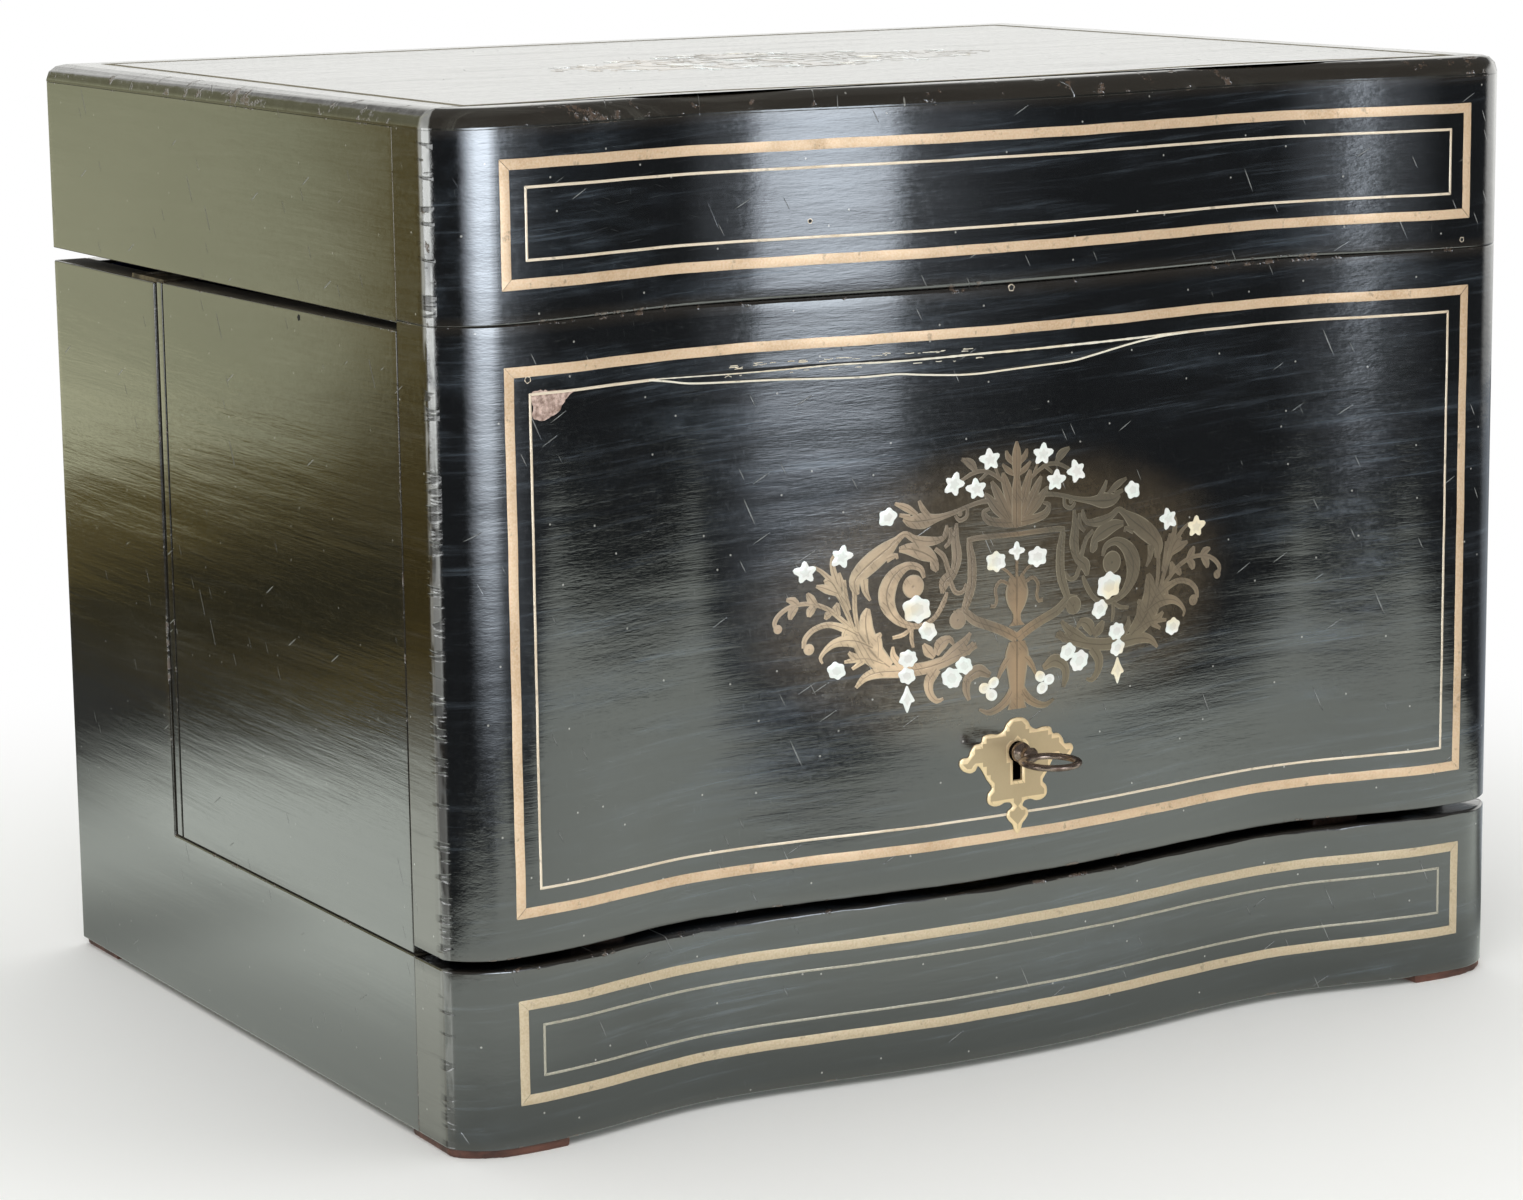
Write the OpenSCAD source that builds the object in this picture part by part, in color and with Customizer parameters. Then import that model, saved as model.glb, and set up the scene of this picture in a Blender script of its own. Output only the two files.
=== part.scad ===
// Serpentine-fronted jewel casket: ebonised case with brass stringing, a lid that
// carries the front panel, two side doors, a lock with its key and a lift-out caddy.
// Millimetres. X to the right, Y to the back, Z up; feet stand on Z = 0.

/* [Case] */
// Width over the sides
case_w = 330; // [320:1:350]
// Depth from the foremost point of the front to the back
case_d = 250; // [240:1:270]
// Height of the feet
foot_h = 2; // [1.5:0.5:4]
// Height of the plinth
plinth_h = 46; // [42:1:60]
// Height of the sides above the plinth
body_h = 155; // [150:1:170]
// Gap between the sides and the closed lid
lid_gap = 4.2; // [3.8:0.1:5]
// Height of the lid
lid_h = 51.8; // [48:0.2:60]
// Thickness of the side, back and rail boards
board_t = 10; // [9:0.5:12]
// Thickness of the solid serpentine fronts at their foremost point
front_t = 25; // [24:1:30]
// Thickness of the lid's top board
top_t = 5; // [4.8:0.1:7]
// Thickness of the bottom board
bottom_t = 8; // [6:1:10]
// Gap between the plinth and the front panel
panel_gap = 2.5; // [1.5:0.5:3]

/* [Serpentine front] */
// Distance from the middle to the deepest point of each hollow
hollow_x = 87; // [80:1:100]
// How far the hollows lie behind the foremost point
hollow_d = 8; // [4:0.5:9]
// How far the middle of the bow lies behind the foremost point
bow_d = 1.2; // [0:0.2:3]
// Width of each rounded front corner
corner_w = 15; // [10:1:20]
// Radius of each rounded front corner
corner_r = 18; // [21:1:26]
// Rounding of the lid's upper edge
lid_edge_r = 4.5; // [2:0.5:4.5]

/* [Inlay] */
// Thickness of the brass and pearl inlay
inlay_t = 0.8; // [0.5:0.1:1.2]
// Width of the brass bands
band_w = 2.6; // [2:0.2:4]
// Width of the brass strings
string_w = 0.7; // [0.5:0.1:1.2]
// Distance from a band's outer edge to its string's outer edge
string_in = 6.6; // [5:0.2:9]
// Distance from the case side to the bands on the front
band_side = 16; // [15:0.5:24]
// Distance from the edge to the band on the lid's top
top_band_in = 12; // [8:1:20]
// Margin below the plinth band
plinth_low = 10.8; // [8:0.2:14]
// Margin above the plinth band
plinth_high = 8.4; // [6:0.2:12]
// Margin below the panel band
panel_low = 9.9; // [6:0.1:12]
// Margin above the panel band
panel_high = 10.3; // [6:0.1:12]
// Margin below the lid band
lid_low = 8.2; // [6:0.2:10]
// Margin above the lid band
lid_high = 7.2; // [6:0.2:10]
// Width of each marquetry cartouche
marquetry_w = 140; // [110:1:150]
// Height of the marquetry's lowest point above the panel's bottom edge
marquetry_z = 43; // [42.5:0.5:50]
// Width of the escutcheon
escutcheon_w = 35.2; // [30:0.2:40]
// How far the escutcheon stands proud of the panel
escutcheon_proud = 0.4; // [0.2:0.1:0.8]

/* [Doors] */
// Depth of the rear stile behind each door
stile_w = 73.3; // [60:0.5:85]
// Distance of the pivot from the door's outer face
pivot_in = 2.5; // [2:0.1:3]
// Gap round the doors
door_gap = 0.5; // [0.5:0.1:1]
// Gap between a door's front edge and the front panel
seam = 0.6; // [0.6:0.1:1.2]
// Radius of the pivot pins
pivot_r = 1.2; // [1:0.1:1.4]
// Radial clearance of the pins in their holes
running = 0.05; // [0.03:0.01:0.08]

/* [Hinges, lock and key] */
// Distance of each lid hinge from the middle
hinge_x = 100; // [80:1:110]
// Length of each hinge
hinge_l = 44; // [36:2:60]
// Radius of the hinge knuckles
knuckle_r = 2; // [1.8:0.1:2]
// Height of the key above the panel's bottom edge
key_z = 33.5; // [33:0.5:38]
// Radius of the key's shank
shank_r = 1.9; // [1.7:0.1:2.1]
// Radius over the key's ring bow
bow_r = 9; // [8:0.5:11]
// Travel of the lock bolt
bolt_travel = 8; // [6:0.5:8]

/* [Caddy] */
// Gap between the lift-out caddy and the inner faces of the doors
caddy_side_gap = 9; // [8:0.5:20]
// Gap between the caddy and the front panel
caddy_front_gap = 8; // [5:0.5:15]
// Gap between the caddy and the back board
caddy_back_gap = 9; // [3:0.5:20]
// Height of the caddy's columns
column_h = 72; // [60:1:76]
// Height of the caddy's upper tray
tray_h = 36; // [30:1:38]
// Height of the lower deck's rim
rim_h = 22; // [14:1:30]
// Thickness of the caddy's boards
caddy_t = 5; // [4:0.5:6]
// Radius of each ring roll
roll_r = 6.5; // [5:0.5:7]

/* [Hidden] */
half_w = case_w / 2;
y_front = -case_d / 2;
y_back = case_d / 2;
y_seam = y_front + front_t;
z_plinth = foot_h + plinth_h;
z_body = z_plinth + body_h;
z_lid = z_body + lid_gap;
z_top = z_lid + lid_h;
z_panel = z_plinth + panel_gap;
z_under_top = z_top - top_t;
inner_x = half_w - board_t;
y_inner = y_back - board_t;
shoulder_x = half_w - corner_w;
lining_t = 1;
fit = 0.3;

// Lid hinge: the knuckles stand behind the back, in the middle of the gap.
leaf_t = 1.2;
leaf_w = 12;
hinge_pin_r = 1;
hinge_y = y_back + knuckle_r + 0.2;
hinge_z = z_body + lid_gap / 2;
knuckle_gap = 0.2;

// The key's bow reaches furthest forward and the knuckles furthest back.
key_reach = 24;
plate_y = y_front + bow_d;
key_tip_y = plate_y - key_reach;
shift_y = -(key_tip_y + hinge_y + knuckle_r) / 2;

// Front outline: a bow, two hollows and two rounded corners, as one formula.
bow_n = 12;
flank_n = 9;
corner_n = 5;
function setback(x) =
    let (a = abs(x))
    a <= hollow_x ? bow_d + (hollow_d - bow_d) * (1 - cos(180 * a / hollow_x)) / 2 :
    a <= shoulder_x ? hollow_d * (1 + cos(180 * (a - hollow_x) / (shoulder_x - hollow_x))) / 2 :
    corner_r - sqrt(corner_r * corner_r - (a - shoulder_x) * (a - shoulder_x));
corner_turn = asin(corner_w / corner_r);
right_x = concat(
    [for (i = [1:bow_n]) hollow_x * i / bow_n],
    [for (i = [1:flank_n]) hollow_x + (shoulder_x - hollow_x) * i / flank_n],
    [for (i = [1:corner_n]) shoulder_x + corner_r * sin(corner_turn * i / corner_n)]);
front_x = concat([for (i = [len(right_x) - 1:-1:0]) -right_x[i]], [0], right_x);
function front_line(back) = [for (x = front_x) [x, y_front + setback(x) + back]];

// Board with the serpentine front and a flat back, its front face moved back by `back`.
module front_board(z0, z1, back = 0)
    translate([0, 0, z0])
        linear_extrude(z1 - z0)
            polygon(concat(front_line(back), [[half_w, y_seam], [-half_w, y_seam]]));

// Skin of the serpentine from `proud` in front of the face to `t` behind it.
module front_skin(z0, z1, t = inlay_t, proud = 0)
    difference() {
        front_board(z0, z1, -proud);
        front_board(z0 - 1, z1 + 1, t);
    }

// Block in front of the skin's back, from z0 to z1 and out to half_x each way.
module front_block(half_x, z0, z1)
    translate([-half_x, y_front - 5, z0])
        cube([2 * half_x, 5 + hollow_d + front_t / 2, z1 - z0]);

module frame_block(half_x, z0, z1, w)
    difference() {
        front_block(half_x, z0, z1);
        translate([0, -1, 0]) front_block(half_x - w, z0 + w, z1 - w);
        translate([0, 1, 0]) front_block(half_x - w, z0 + w, z1 - w);
    }

band_half = half_w - band_side;
string_half = band_half - string_in;
module band_block(z0, z1) frame_block(band_half, z0, z1, band_w);
module string_block(z0, z1)
    frame_block(string_half, z0 + string_in, z1 - string_in, string_w);

module face_inlay(z0, z1)
    intersection() {
        front_skin(z0, z1);
        children();
    }

module face_recess(z0, z1)
    difference() {
        children();
        front_board(z0 - 1, z1 + 1, inlay_t);
    }

plinth_band = [foot_h + plinth_low, z_plinth - plinth_high];
panel_band = [z_panel + panel_low, z_lid - panel_high];
lid_band = [z_lid + lid_low, z_under_top - lid_high];

// Ornament, drawn 140 wide about its own axis with its lowest point at zero.
drawn_w = 140;
function left_of(p, i) =
    let (a = p[max(i - 1, 0)], b = p[min(i + 1, len(p) - 1)], d = b - a)
    [-d[1], d[0]] / norm(d);
module ribbon(p, w0, w1, w2) {
    n = len(p) - 1;
    w = [for (i = [0:n]) let (t = i / n)
         (t < 0.5 ? w0 + (w1 - w0) * 2 * t : w1 + (w2 - w1) * (2 * t - 1)) / 2];
    polygon(concat(
        [for (i = [0:n]) p[i] + w[i] * left_of(p, i)],
        [for (i = [n:-1:0]) p[i] - w[i] * left_of(p, i)]));
}
function spiral(c, r0, r1, a0, a1, n) =
    [for (i = [0:n]) let (t = i / n, a = a0 + (a1 - a0) * t, r = r0 + (r1 - r0) * t)
     c + r * [cos(a), sin(a)]];
module dot(p, r) translate(p) circle(r, $fn = 12);
module both_sides() {
    children();
    mirror([1, 0]) children();
}

// One side of the brass: scroll, acanthus spray, lower bar and drop leaf.
module brass_side() {
    ribbon(spiral([33, 35.5], 9, 6, -100, 170, 14), 1, 2.6, 1.4);
    dot([31.6, 37.4], 2.2);
    ribbon([[47, 39], [46.6, 43], [43, 47], [38, 50], [33, 51.4], [28, 53]], 1.2, 3.2, 1);
    ribbon([[46, 26.5], [53, 32], [57.5, 35.3], [62, 36.4], [66, 36], [68.6, 33.5], [69, 30.5]],
           1, 1.8, 1.3);
    for (p = [[59, 37.6], [60, 34.2], [65.6, 37.4]]) dot(p, 1.4);
    ribbon([[46, 25.5], [51.8, 29.2], [56, 29.8], [59.7, 28.8], [61.9, 26], [60.8, 23.6]],
           2, 1.8, 1.2);
    dot([60.4, 24.4], 1.3);
    ribbon([[42, 21], [48, 26], [53, 26.5], [56.2, 24.4], [57, 20.8]], 4, 2.4, 0.8);
    ribbon([[46.6, 27], [49.3, 34.5], [53.5, 40], [58.6, 43.4]], 1, 2, 1);
    ribbon([[47.6, 29], [50.5, 37], [52.6, 43], [51.8, 46]], 0.8, 2.2, 0.8);
    ribbon([[36, 16], [40, 20.5], [44, 26], [44.4, 32.4]], 4, 5, 1);
    ribbon([[46, 13], [42, 15.6], [36, 16], [28, 15.6], [21.5, 17], [17, 20], [14, 24]],
           1, 3.4, 2.4);
    ribbon([[27, 15], [26.8, 11], [25, 7.8], [22.6, 6.4]], 2.4, 2.2, 1);
    ribbon([[0, 48.9], [12, 48.4], [12, 38], [13.2, 29.2], [9.4, 25.6], [0, 21.4]], 1.2, 1, 1.4);
    ribbon([[8, 14.5], [12, 15.2], [15, 12], [15.4, 5.6]], 1, 3, 0.8);
    ribbon([[22, 47], [18, 49.6], [15.6, 46], [17, 41.6], [19.4, 37.4]], 0.8, 2, 0.8);
    ribbon([[4, 52], [9, 57], [11, 61.6]], 2.4, 2.2, 1);
}
module brass_middle() {
    ribbon([[0, 50], [0, 57], [0, 65], [0, 72.4]], 6, 5, 1);
    dot([0, 29], 4.6);
    ribbon([[-8.2, 30.4], [-6, 36], [-2, 33], [0, 29], [2, 33], [6, 36], [8.2, 30.4]], 1, 2, 1);
    ribbon([[0, 22.5], [0, 12], [0, 6], [0, 0]], 12, 5, 10);
}
flowers = [[8, 69, 1.7], [12, 61.6, 1.8], [19, 63.5, 1.7], [38, 56.7, 1.7], [51.2, 47.6, 1.8],
           [61.2, 44, 1.9], [6.1, 41.9, 1.8], [29.5, 31.7, 2.6], [27.2, 25.8, 2], [32.6, 19, 1.9],
           [33, 14.3, 1.7], [52.8, 17.6, 1.7], [20, 12.5, 1.9], [16.4, 15.7, 1.6]];
shield_flower = [0, 44.1];
berries = [[7.3, 10.3], [9.8, 9.1], [7.9, 6.9]];
module flower(r)
    polygon([for (i = [0:9]) let (a = 90 + 36 * i, q = i % 2 == 0 ? r : 0.62 * r)
             q * [cos(a), sin(a)]]);
module pearl_drawing() {
    both_sides() {
        for (f = flowers) translate([f[0], f[1]]) flower(f[2]);
        for (b = berries) dot(b, 1.2);
        polygon([[33, 12], [34.6, 8.4], [33, 5.4], [31.4, 8.4]]);
    }
    translate(shield_flower) flower(1.8);
}
module brass_drawing()
    difference() {
        union() {
            both_sides() brass_side();
            brass_middle();
        }
        pearl_drawing();
    }
module brass_2d() scale(marquetry_w / drawn_w) brass_drawing();
module pearl_2d() scale(marquetry_w / drawn_w) pearl_drawing();

// Escutcheon outline, drawn 35.2 wide about the keyhole's round centre; the left half
// mirrors the right.
drawn_plate_w = 35.2;
plate_right = [[3.2, 7.9], [4, 6], [7.2, 5.2], [10.5, 5], [11.2, 3.4], [14.2, 2.6], [14.8, 0.6],
               [17.6, -0.6], [17.6, -2.3], [15.2, -4.8], [12.5, -3.6], [9, -8], [7.8, -9.3],
               [9.1, -11], [8.8, -13.7], [6, -14.4], [3.2, -13.5], [1.7, -15], [3, -16.5],
               [2.8, -18.4], [1.5, -19.3], [1, -21.2]];
plate_top = [0, 9];
plate_tip = [0, -22.2];
keyhole_r = 2.75;
slot_w = 3;
slot_h = 7.8;
plate_left = [for (i = [len(plate_right) - 1:-1:0]) [-plate_right[i][0], plate_right[i][1]]];
module plate_2d()
    scale(escutcheon_w / drawn_plate_w)
        polygon(concat([plate_top], plate_right, [plate_tip], plate_left));
z_key = z_panel + key_z;
z_ornament = z_panel + marquetry_z;

// Turns a drawing into a block that runs back from in front of the face.
module face_block(depth = front_t)
    translate([0, y_front - 5 + depth, 0])
        rotate([90, 0, 0])
            linear_extrude(depth)
                children();
module brass_block() face_block() translate([0, z_ornament]) brass_2d();
module pearl_block() face_block() translate([0, z_ornament]) pearl_2d();
module plate_block() face_block() translate([0, z_key]) plate_2d();
module keyhole_block()
    translate([0, 0, z_key]) {
        translate([0, y_seam + 1, 0])
            rotate([90, 0, 0]) cylinder(r = keyhole_r, h = front_t + 10, $fn = 48);
        translate([-slot_w / 2, y_seam - front_t - 9, -slot_h])
            cube([slot_w, front_t + 10, slot_h]);
    }

// ---- Case ----

screw_r = 1;
screw_l = 7;
screw_head_r = 1.9;
screw_head_t = 0.7;
// Countersunk screw pointing down from its head at the origin.
module screw() {
    translate([0, 0, -screw_head_t]) cylinder(r = screw_head_r, h = screw_head_t, $fn = 24);
    translate([0, 0, -screw_l]) cylinder(r = screw_r, h = screw_l - screw_head_t, $fn = 24);
}
module screw_hole() {
    translate([0, 0, -screw_head_t]) cylinder(r = screw_head_r, h = screw_head_t + 1, $fn = 24);
    translate([0, 0, -screw_l]) cylinder(r = screw_r, h = screw_l, $fn = 24);
}

strike_w = 32;
strike_d = 8;
strike_t = 1.2;
bolt_w = 12;
bolt_d = 4;
bolt_y = y_seam - 4.6;
bolt_slack = 0.4;
mortise_h = 9;
module strike_seat(t)
    translate([-strike_w / 2, bolt_y - strike_d / 2, z_plinth - t])
        cube([strike_w, strike_d, t + 1]);
module bolt_slot(z0, z1)
    translate([-bolt_w / 2 - bolt_slack, bolt_y - bolt_d / 2 - bolt_slack, z0])
        cube([bolt_w + 2 * bolt_slack, bolt_d + 2 * bolt_slack, z1 - z0]);
strike_screw_x = strike_w / 2 - 4;
module at_strike_screws()
    for (s = [-1, 1]) translate([s * strike_screw_x, bolt_y, z_plinth]) children();

module plinth_front() {
    color([0.13, 0.14, 0.13])
        difference() {
            front_board(foot_h, z_plinth);
            face_recess(foot_h, z_plinth) band_block(plinth_band[0], plinth_band[1]);
            face_recess(foot_h, z_plinth) string_block(plinth_band[0], plinth_band[1]);
            strike_seat(strike_t);
            bolt_slot(z_plinth - mortise_h, z_plinth);
            at_strike_screws() screw_hole();
        }
}
module plinth_inlay_band() {
    color([0.86, 0.66, 0.46]) face_inlay(foot_h, z_plinth) band_block(plinth_band[0], plinth_band[1]);
}
module plinth_inlay_string() {
    color([0.88, 0.74, 0.52]) face_inlay(foot_h, z_plinth) string_block(plinth_band[0], plinth_band[1]);
}
module strike_plate() {
    color([0.8, 0.63, 0.32])
        difference() {
            intersection() {
                strike_seat(strike_t);
                translate([-strike_w, bolt_y - strike_d, z_plinth - strike_t])
                    cube([2 * strike_w, 2 * strike_d, strike_t]);
            }
            bolt_slot(z_plinth - 5, z_plinth + 1);
            at_strike_screws() screw_hole();
        }
}

// Doors turn on pivots set in from the outer face, in front of the rear stile.
y_stile = y_back - stile_w;
pivot_y = y_stile - fit - pivot_in;
pivot_x = half_w - pivot_in;
pivot_pin_h = 14;
plate_w = 9;
plate_l = 22;
plate_t = 1.2;
plate_screw_y = [pivot_y + 9, pivot_y + 15];
module right_or_left(side) {
    if (side > 0) children();
    else mirror([1, 0, 0]) children();
}
module hinge_leaf_screws()
    for (s = [-1, 1]) for (k = [-1, 0, 1])
        translate([s * hinge_x + k * hinge_l / 3, y_back - leaf_w / 2, 0]) children();
module side_board(side) {
    color([0.22, 0.22, 0.18])
        right_or_left(side)
            difference() {
                union() {
                    translate([inner_x, y_seam, foot_h])
                        cube([board_t, y_back - y_seam, plinth_h]);
                    translate([inner_x, y_stile, z_plinth])
                        cube([board_t, y_back - y_stile, body_h]);
                }
                translate([pivot_x, pivot_y, z_plinth - pivot_pin_h / 2])
                    cylinder(r = pivot_r, h = pivot_pin_h, $fn = 32);
                for (y = plate_screw_y)
                    translate([half_w - plate_w / 2 - 0.5, y, z_body + plate_t]) screw_hole();
            }
}
module side_board_left() side_board(-1);
module side_board_right() side_board(1);

module back_board() {
    color([0.2, 0.19, 0.16])
        difference() {
            translate([-inner_x, y_inner, foot_h])
                cube([2 * inner_x, board_t, z_body - foot_h]);
            hinge_leaf_screws() translate([0, 0, z_body + leaf_t]) screw_hole();
        }
}
z_floor = z_plinth - 4;
module bottom_board() {
    color([0.5, 0.37, 0.24])
        translate([-inner_x, y_seam, z_floor - bottom_t])
            cube([2 * inner_x, y_inner - y_seam, bottom_t]);
}
block_w = 30;
module glue_blocks() {
    color([0.52, 0.39, 0.26])
        for (s = [-1, 1])
            for (y = [y_seam, y_inner])
                translate([s * inner_x, y, foot_h])
                    scale([s < 0 ? 1 : -1, y < 0 ? 1 : -1, 1])
                        linear_extrude(z_floor - bottom_t - foot_h)
                            polygon([[0, 0], [block_w, 0], [0, block_w]]);
}
foot_w = 28;
foot_d = 22;
foot_in = 1;
foot_front = 9;
module feet() {
    color([0.38, 0.22, 0.15])
        for (x = [-half_w + foot_in, half_w - foot_in - foot_w])
            for (y = [y_front + foot_front, y_back - foot_in - foot_d])
                translate([x, y, 0]) cube([foot_w, foot_d, foot_h]);
}
module floor_lining() {
    color([0.16, 0.2, 0.42])
        translate([-inner_x, y_seam, z_floor])
            cube([2 * inner_x, y_inner - y_seam, lining_t]);
}
module back_lining() {
    color([0.16, 0.2, 0.42])
        translate([-inner_x, y_inner - lining_t, z_floor + lining_t])
            cube([2 * inner_x, lining_t, z_body - z_floor - 2 * lining_t]);
}
module door_pins() {
    color([0.78, 0.6, 0.3])
        for (s = [-1, 1])
            translate([s * pivot_x, pivot_y, z_plinth - pivot_pin_h / 2])
                cylinder(r = pivot_r, h = pivot_pin_h, $fn = 32);
}
// Brass plate screwed on each stile; its pin runs down into the door.
module pivot_plates() {
    color([0.78, 0.6, 0.3])
        for (s = [-1, 1]) right_or_left(s) {
            difference() {
                translate([half_w - plate_w - 0.5, pivot_y - 3, z_body])
                    cube([plate_w, plate_l, plate_t]);
                for (y = plate_screw_y)
                    translate([half_w - plate_w / 2 - 0.5, y, z_body + plate_t]) screw_hole();
            }
            translate([pivot_x, pivot_y, z_body - pivot_pin_h / 2])
                cylinder(r = pivot_r, h = pivot_pin_h / 2, $fn = 32);
        }
}

// ---- Doors ----

z_door0 = z_plinth + door_gap;
z_door1 = z_body - fit;
y_door0 = y_seam + seam;
y_door1 = y_stile - fit;
quirk_w = 1;
quirk_y = pivot_y - pivot_in - quirk_w;
module door(side) {
    color([0.23, 0.23, 0.19])
        right_or_left(side)
            difference() {
                translate([0, 0, z_door0])
                    linear_extrude(z_door1 - z_door0)
                        difference() {
                            union() {
                                translate([inner_x, y_door0])
                                    square([board_t, pivot_y - y_door0]);
                                translate([inner_x, pivot_y])
                                    square([board_t - pivot_in, y_door1 - pivot_y]);
                                translate([pivot_x, pivot_y]) circle(pivot_in, $fn = 48);
                            }
                            translate([half_w - quirk_w, quirk_y]) square([quirk_w + 1, quirk_w]);
                        }
                for (z = [z_door0 - 1, z_door1 - pivot_pin_h / 2])
                    translate([pivot_x, pivot_y, z])
                        cylinder(r = pivot_r + running, h = pivot_pin_h / 2 + 1, $fn = 32);
                for (i = [-1, 0, 1])
                    translate([inner_x - 1, hook_y + i * hook_pitch, hook_z])
                        rotate([0, 90, 0]) cylinder(r = hook_r, h = 6, $fn = 24);
            }
}
module door_left() door(-1);
module door_right() door(1);
hook_r = 1;
hook_z = z_body - 24;
hook_y = -36;
hook_pitch = 22;
hook_reach = 5;
lining_in = 3;
module door_lining(side) {
    color([0.16, 0.2, 0.42])
        right_or_left(side)
            difference() {
                translate([inner_x - lining_t, y_door0 + lining_in, z_door0 + lining_in])
                    cube([lining_t, pivot_y - y_door0 - 2 * lining_in, z_door1 - z_door0 - 2 * lining_in]);
                for (i = [-1, 0, 1])
                    translate([inner_x - 2, hook_y + i * hook_pitch, hook_z])
                        rotate([0, 90, 0]) cylinder(r = hook_r, h = 6, $fn = 24);
            }
}
module door_left_lining() door_lining(-1);
module door_right_lining() door_lining(1);
// Necklace hook: a pin out of the door with an upturned end.
module necklace_hooks(side) {
    color([0.82, 0.65, 0.34])
        right_or_left(side)
            for (i = [-1, 0, 1])
                translate([inner_x, hook_y + i * hook_pitch, hook_z]) {
                    translate([-hook_reach, 0, 0])
                        rotate([0, 90, 0]) cylinder(r = hook_r, h = hook_reach + 5, $fn = 24);
                    translate([-hook_reach, 0, 0]) sphere(hook_r, $fn = 24);
                    translate([-hook_reach, 0, 0]) cylinder(r = hook_r, h = 4, $fn = 24);
                    translate([-hook_reach, 0, 4]) sphere(hook_r, $fn = 24);
                }
}
module door_left_hooks() necklace_hooks(-1);
module door_right_hooks() necklace_hooks(1);

// ---- Lid ----

function lid_outline(inset) = concat(
    [for (p = front_line(0)) [p[0] * (half_w - inset) / half_w, p[1] + inset]],
    [[half_w - inset, y_back - inset], [inset - half_w, y_back - inset]]);
edge_n = 4;
lid_rings = concat([[0, 0], [0, top_t - lid_edge_r]],
    [for (i = [1:edge_n]) let (a = 90 * i / edge_n)
     [lid_edge_r * (1 - cos(a)), top_t - lid_edge_r + lid_edge_r * sin(a)]]);
module rounded_top() {
    n = len(front_x) + 2;
    m = len(lid_rings);
    points = [for (r = lid_rings) for (p = lid_outline(r[0])) [p[0], p[1], z_under_top + r[1]]];
    sides = [for (k = [0:m - 2]) for (i = [0:n - 1]) for (h = [0, 1])
             let (j = (i + 1) % n, a = k * n)
             h == 0 ? [a + i, a + n + i, a + n + j] : [a + i, a + n + j, a + j]];
    floor_face = [for (i = [0:n - 1]) i];
    top_face = [for (i = [n - 1:-1:0]) (m - 1) * n + i];
    polyhedron(points, concat([floor_face, top_face], sides), convexity = 6);
}
module top_band_2d()
    difference() {
        polygon(lid_outline(top_band_in));
        polygon(lid_outline(top_band_in + band_w));
    }
top_ornament_y = -36;
module top_ornament_2d() translate([0, top_ornament_y]) brass_2d();
module top_pearl_2d() translate([0, top_ornament_y]) pearl_2d();
module top_sheet(extra = 0)
    translate([0, 0, z_top - inlay_t]) linear_extrude(inlay_t + extra) children();

module lid_top() {
    color([0.2, 0.2, 0.19])
        difference() {
            rounded_top();
            top_sheet(1) top_band_2d();
            top_sheet(1) top_ornament_2d();
            top_sheet(1) top_pearl_2d();
        }
}
module top_inlay_band() {
    color([0.86, 0.66, 0.46]) top_sheet() top_band_2d();
}
module top_marquetry_brass() {
    color([0.72, 0.58, 0.38]) top_sheet() top_ornament_2d();
}
module top_marquetry_pearl() {
    color([0.93, 0.93, 0.86]) top_sheet() top_pearl_2d();
}
module lid_front_rail() {
    color([0.1, 0.11, 0.12])
        difference() {
            front_board(z_lid, z_under_top);
            face_recess(z_lid, z_under_top) band_block(lid_band[0], lid_band[1]);
            face_recess(z_lid, z_under_top) string_block(lid_band[0], lid_band[1]);
            at_strap_screws() screw_hole();
        }
}
module lid_inlay_band() {
    color([0.86, 0.66, 0.46]) face_inlay(z_lid, z_under_top) band_block(lid_band[0], lid_band[1]);
}
module lid_inlay_string() {
    color([0.88, 0.74, 0.52]) face_inlay(z_lid, z_under_top) string_block(lid_band[0], lid_band[1]);
}
module lid_side_rail(side) {
    color([0.22, 0.22, 0.18])
        right_or_left(side)
            translate([inner_x, y_seam, z_lid])
                cube([board_t, y_back - y_seam, z_under_top - z_lid]);
}
module lid_rail_left() lid_side_rail(-1);
module lid_rail_right() lid_side_rail(1);
module lid_back_rail() {
    color([0.2, 0.19, 0.16])
        difference() {
            translate([-inner_x, y_inner, z_lid])
                cube([2 * inner_x, board_t, z_under_top - z_lid]);
            hinge_leaf_screws() translate([0, 0, z_lid - leaf_t]) rotate([180, 0, 0]) screw_hole();
        }
}
pad_t = 8;
module lid_pad() {
    color([0.72, 0.62, 0.5])
        translate([-inner_x + fit, y_seam + fit, z_under_top - pad_t])
            cube([2 * (inner_x - fit), y_inner - y_seam - 2 * fit, pad_t]);
}

// ---- Hinges ----

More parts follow.
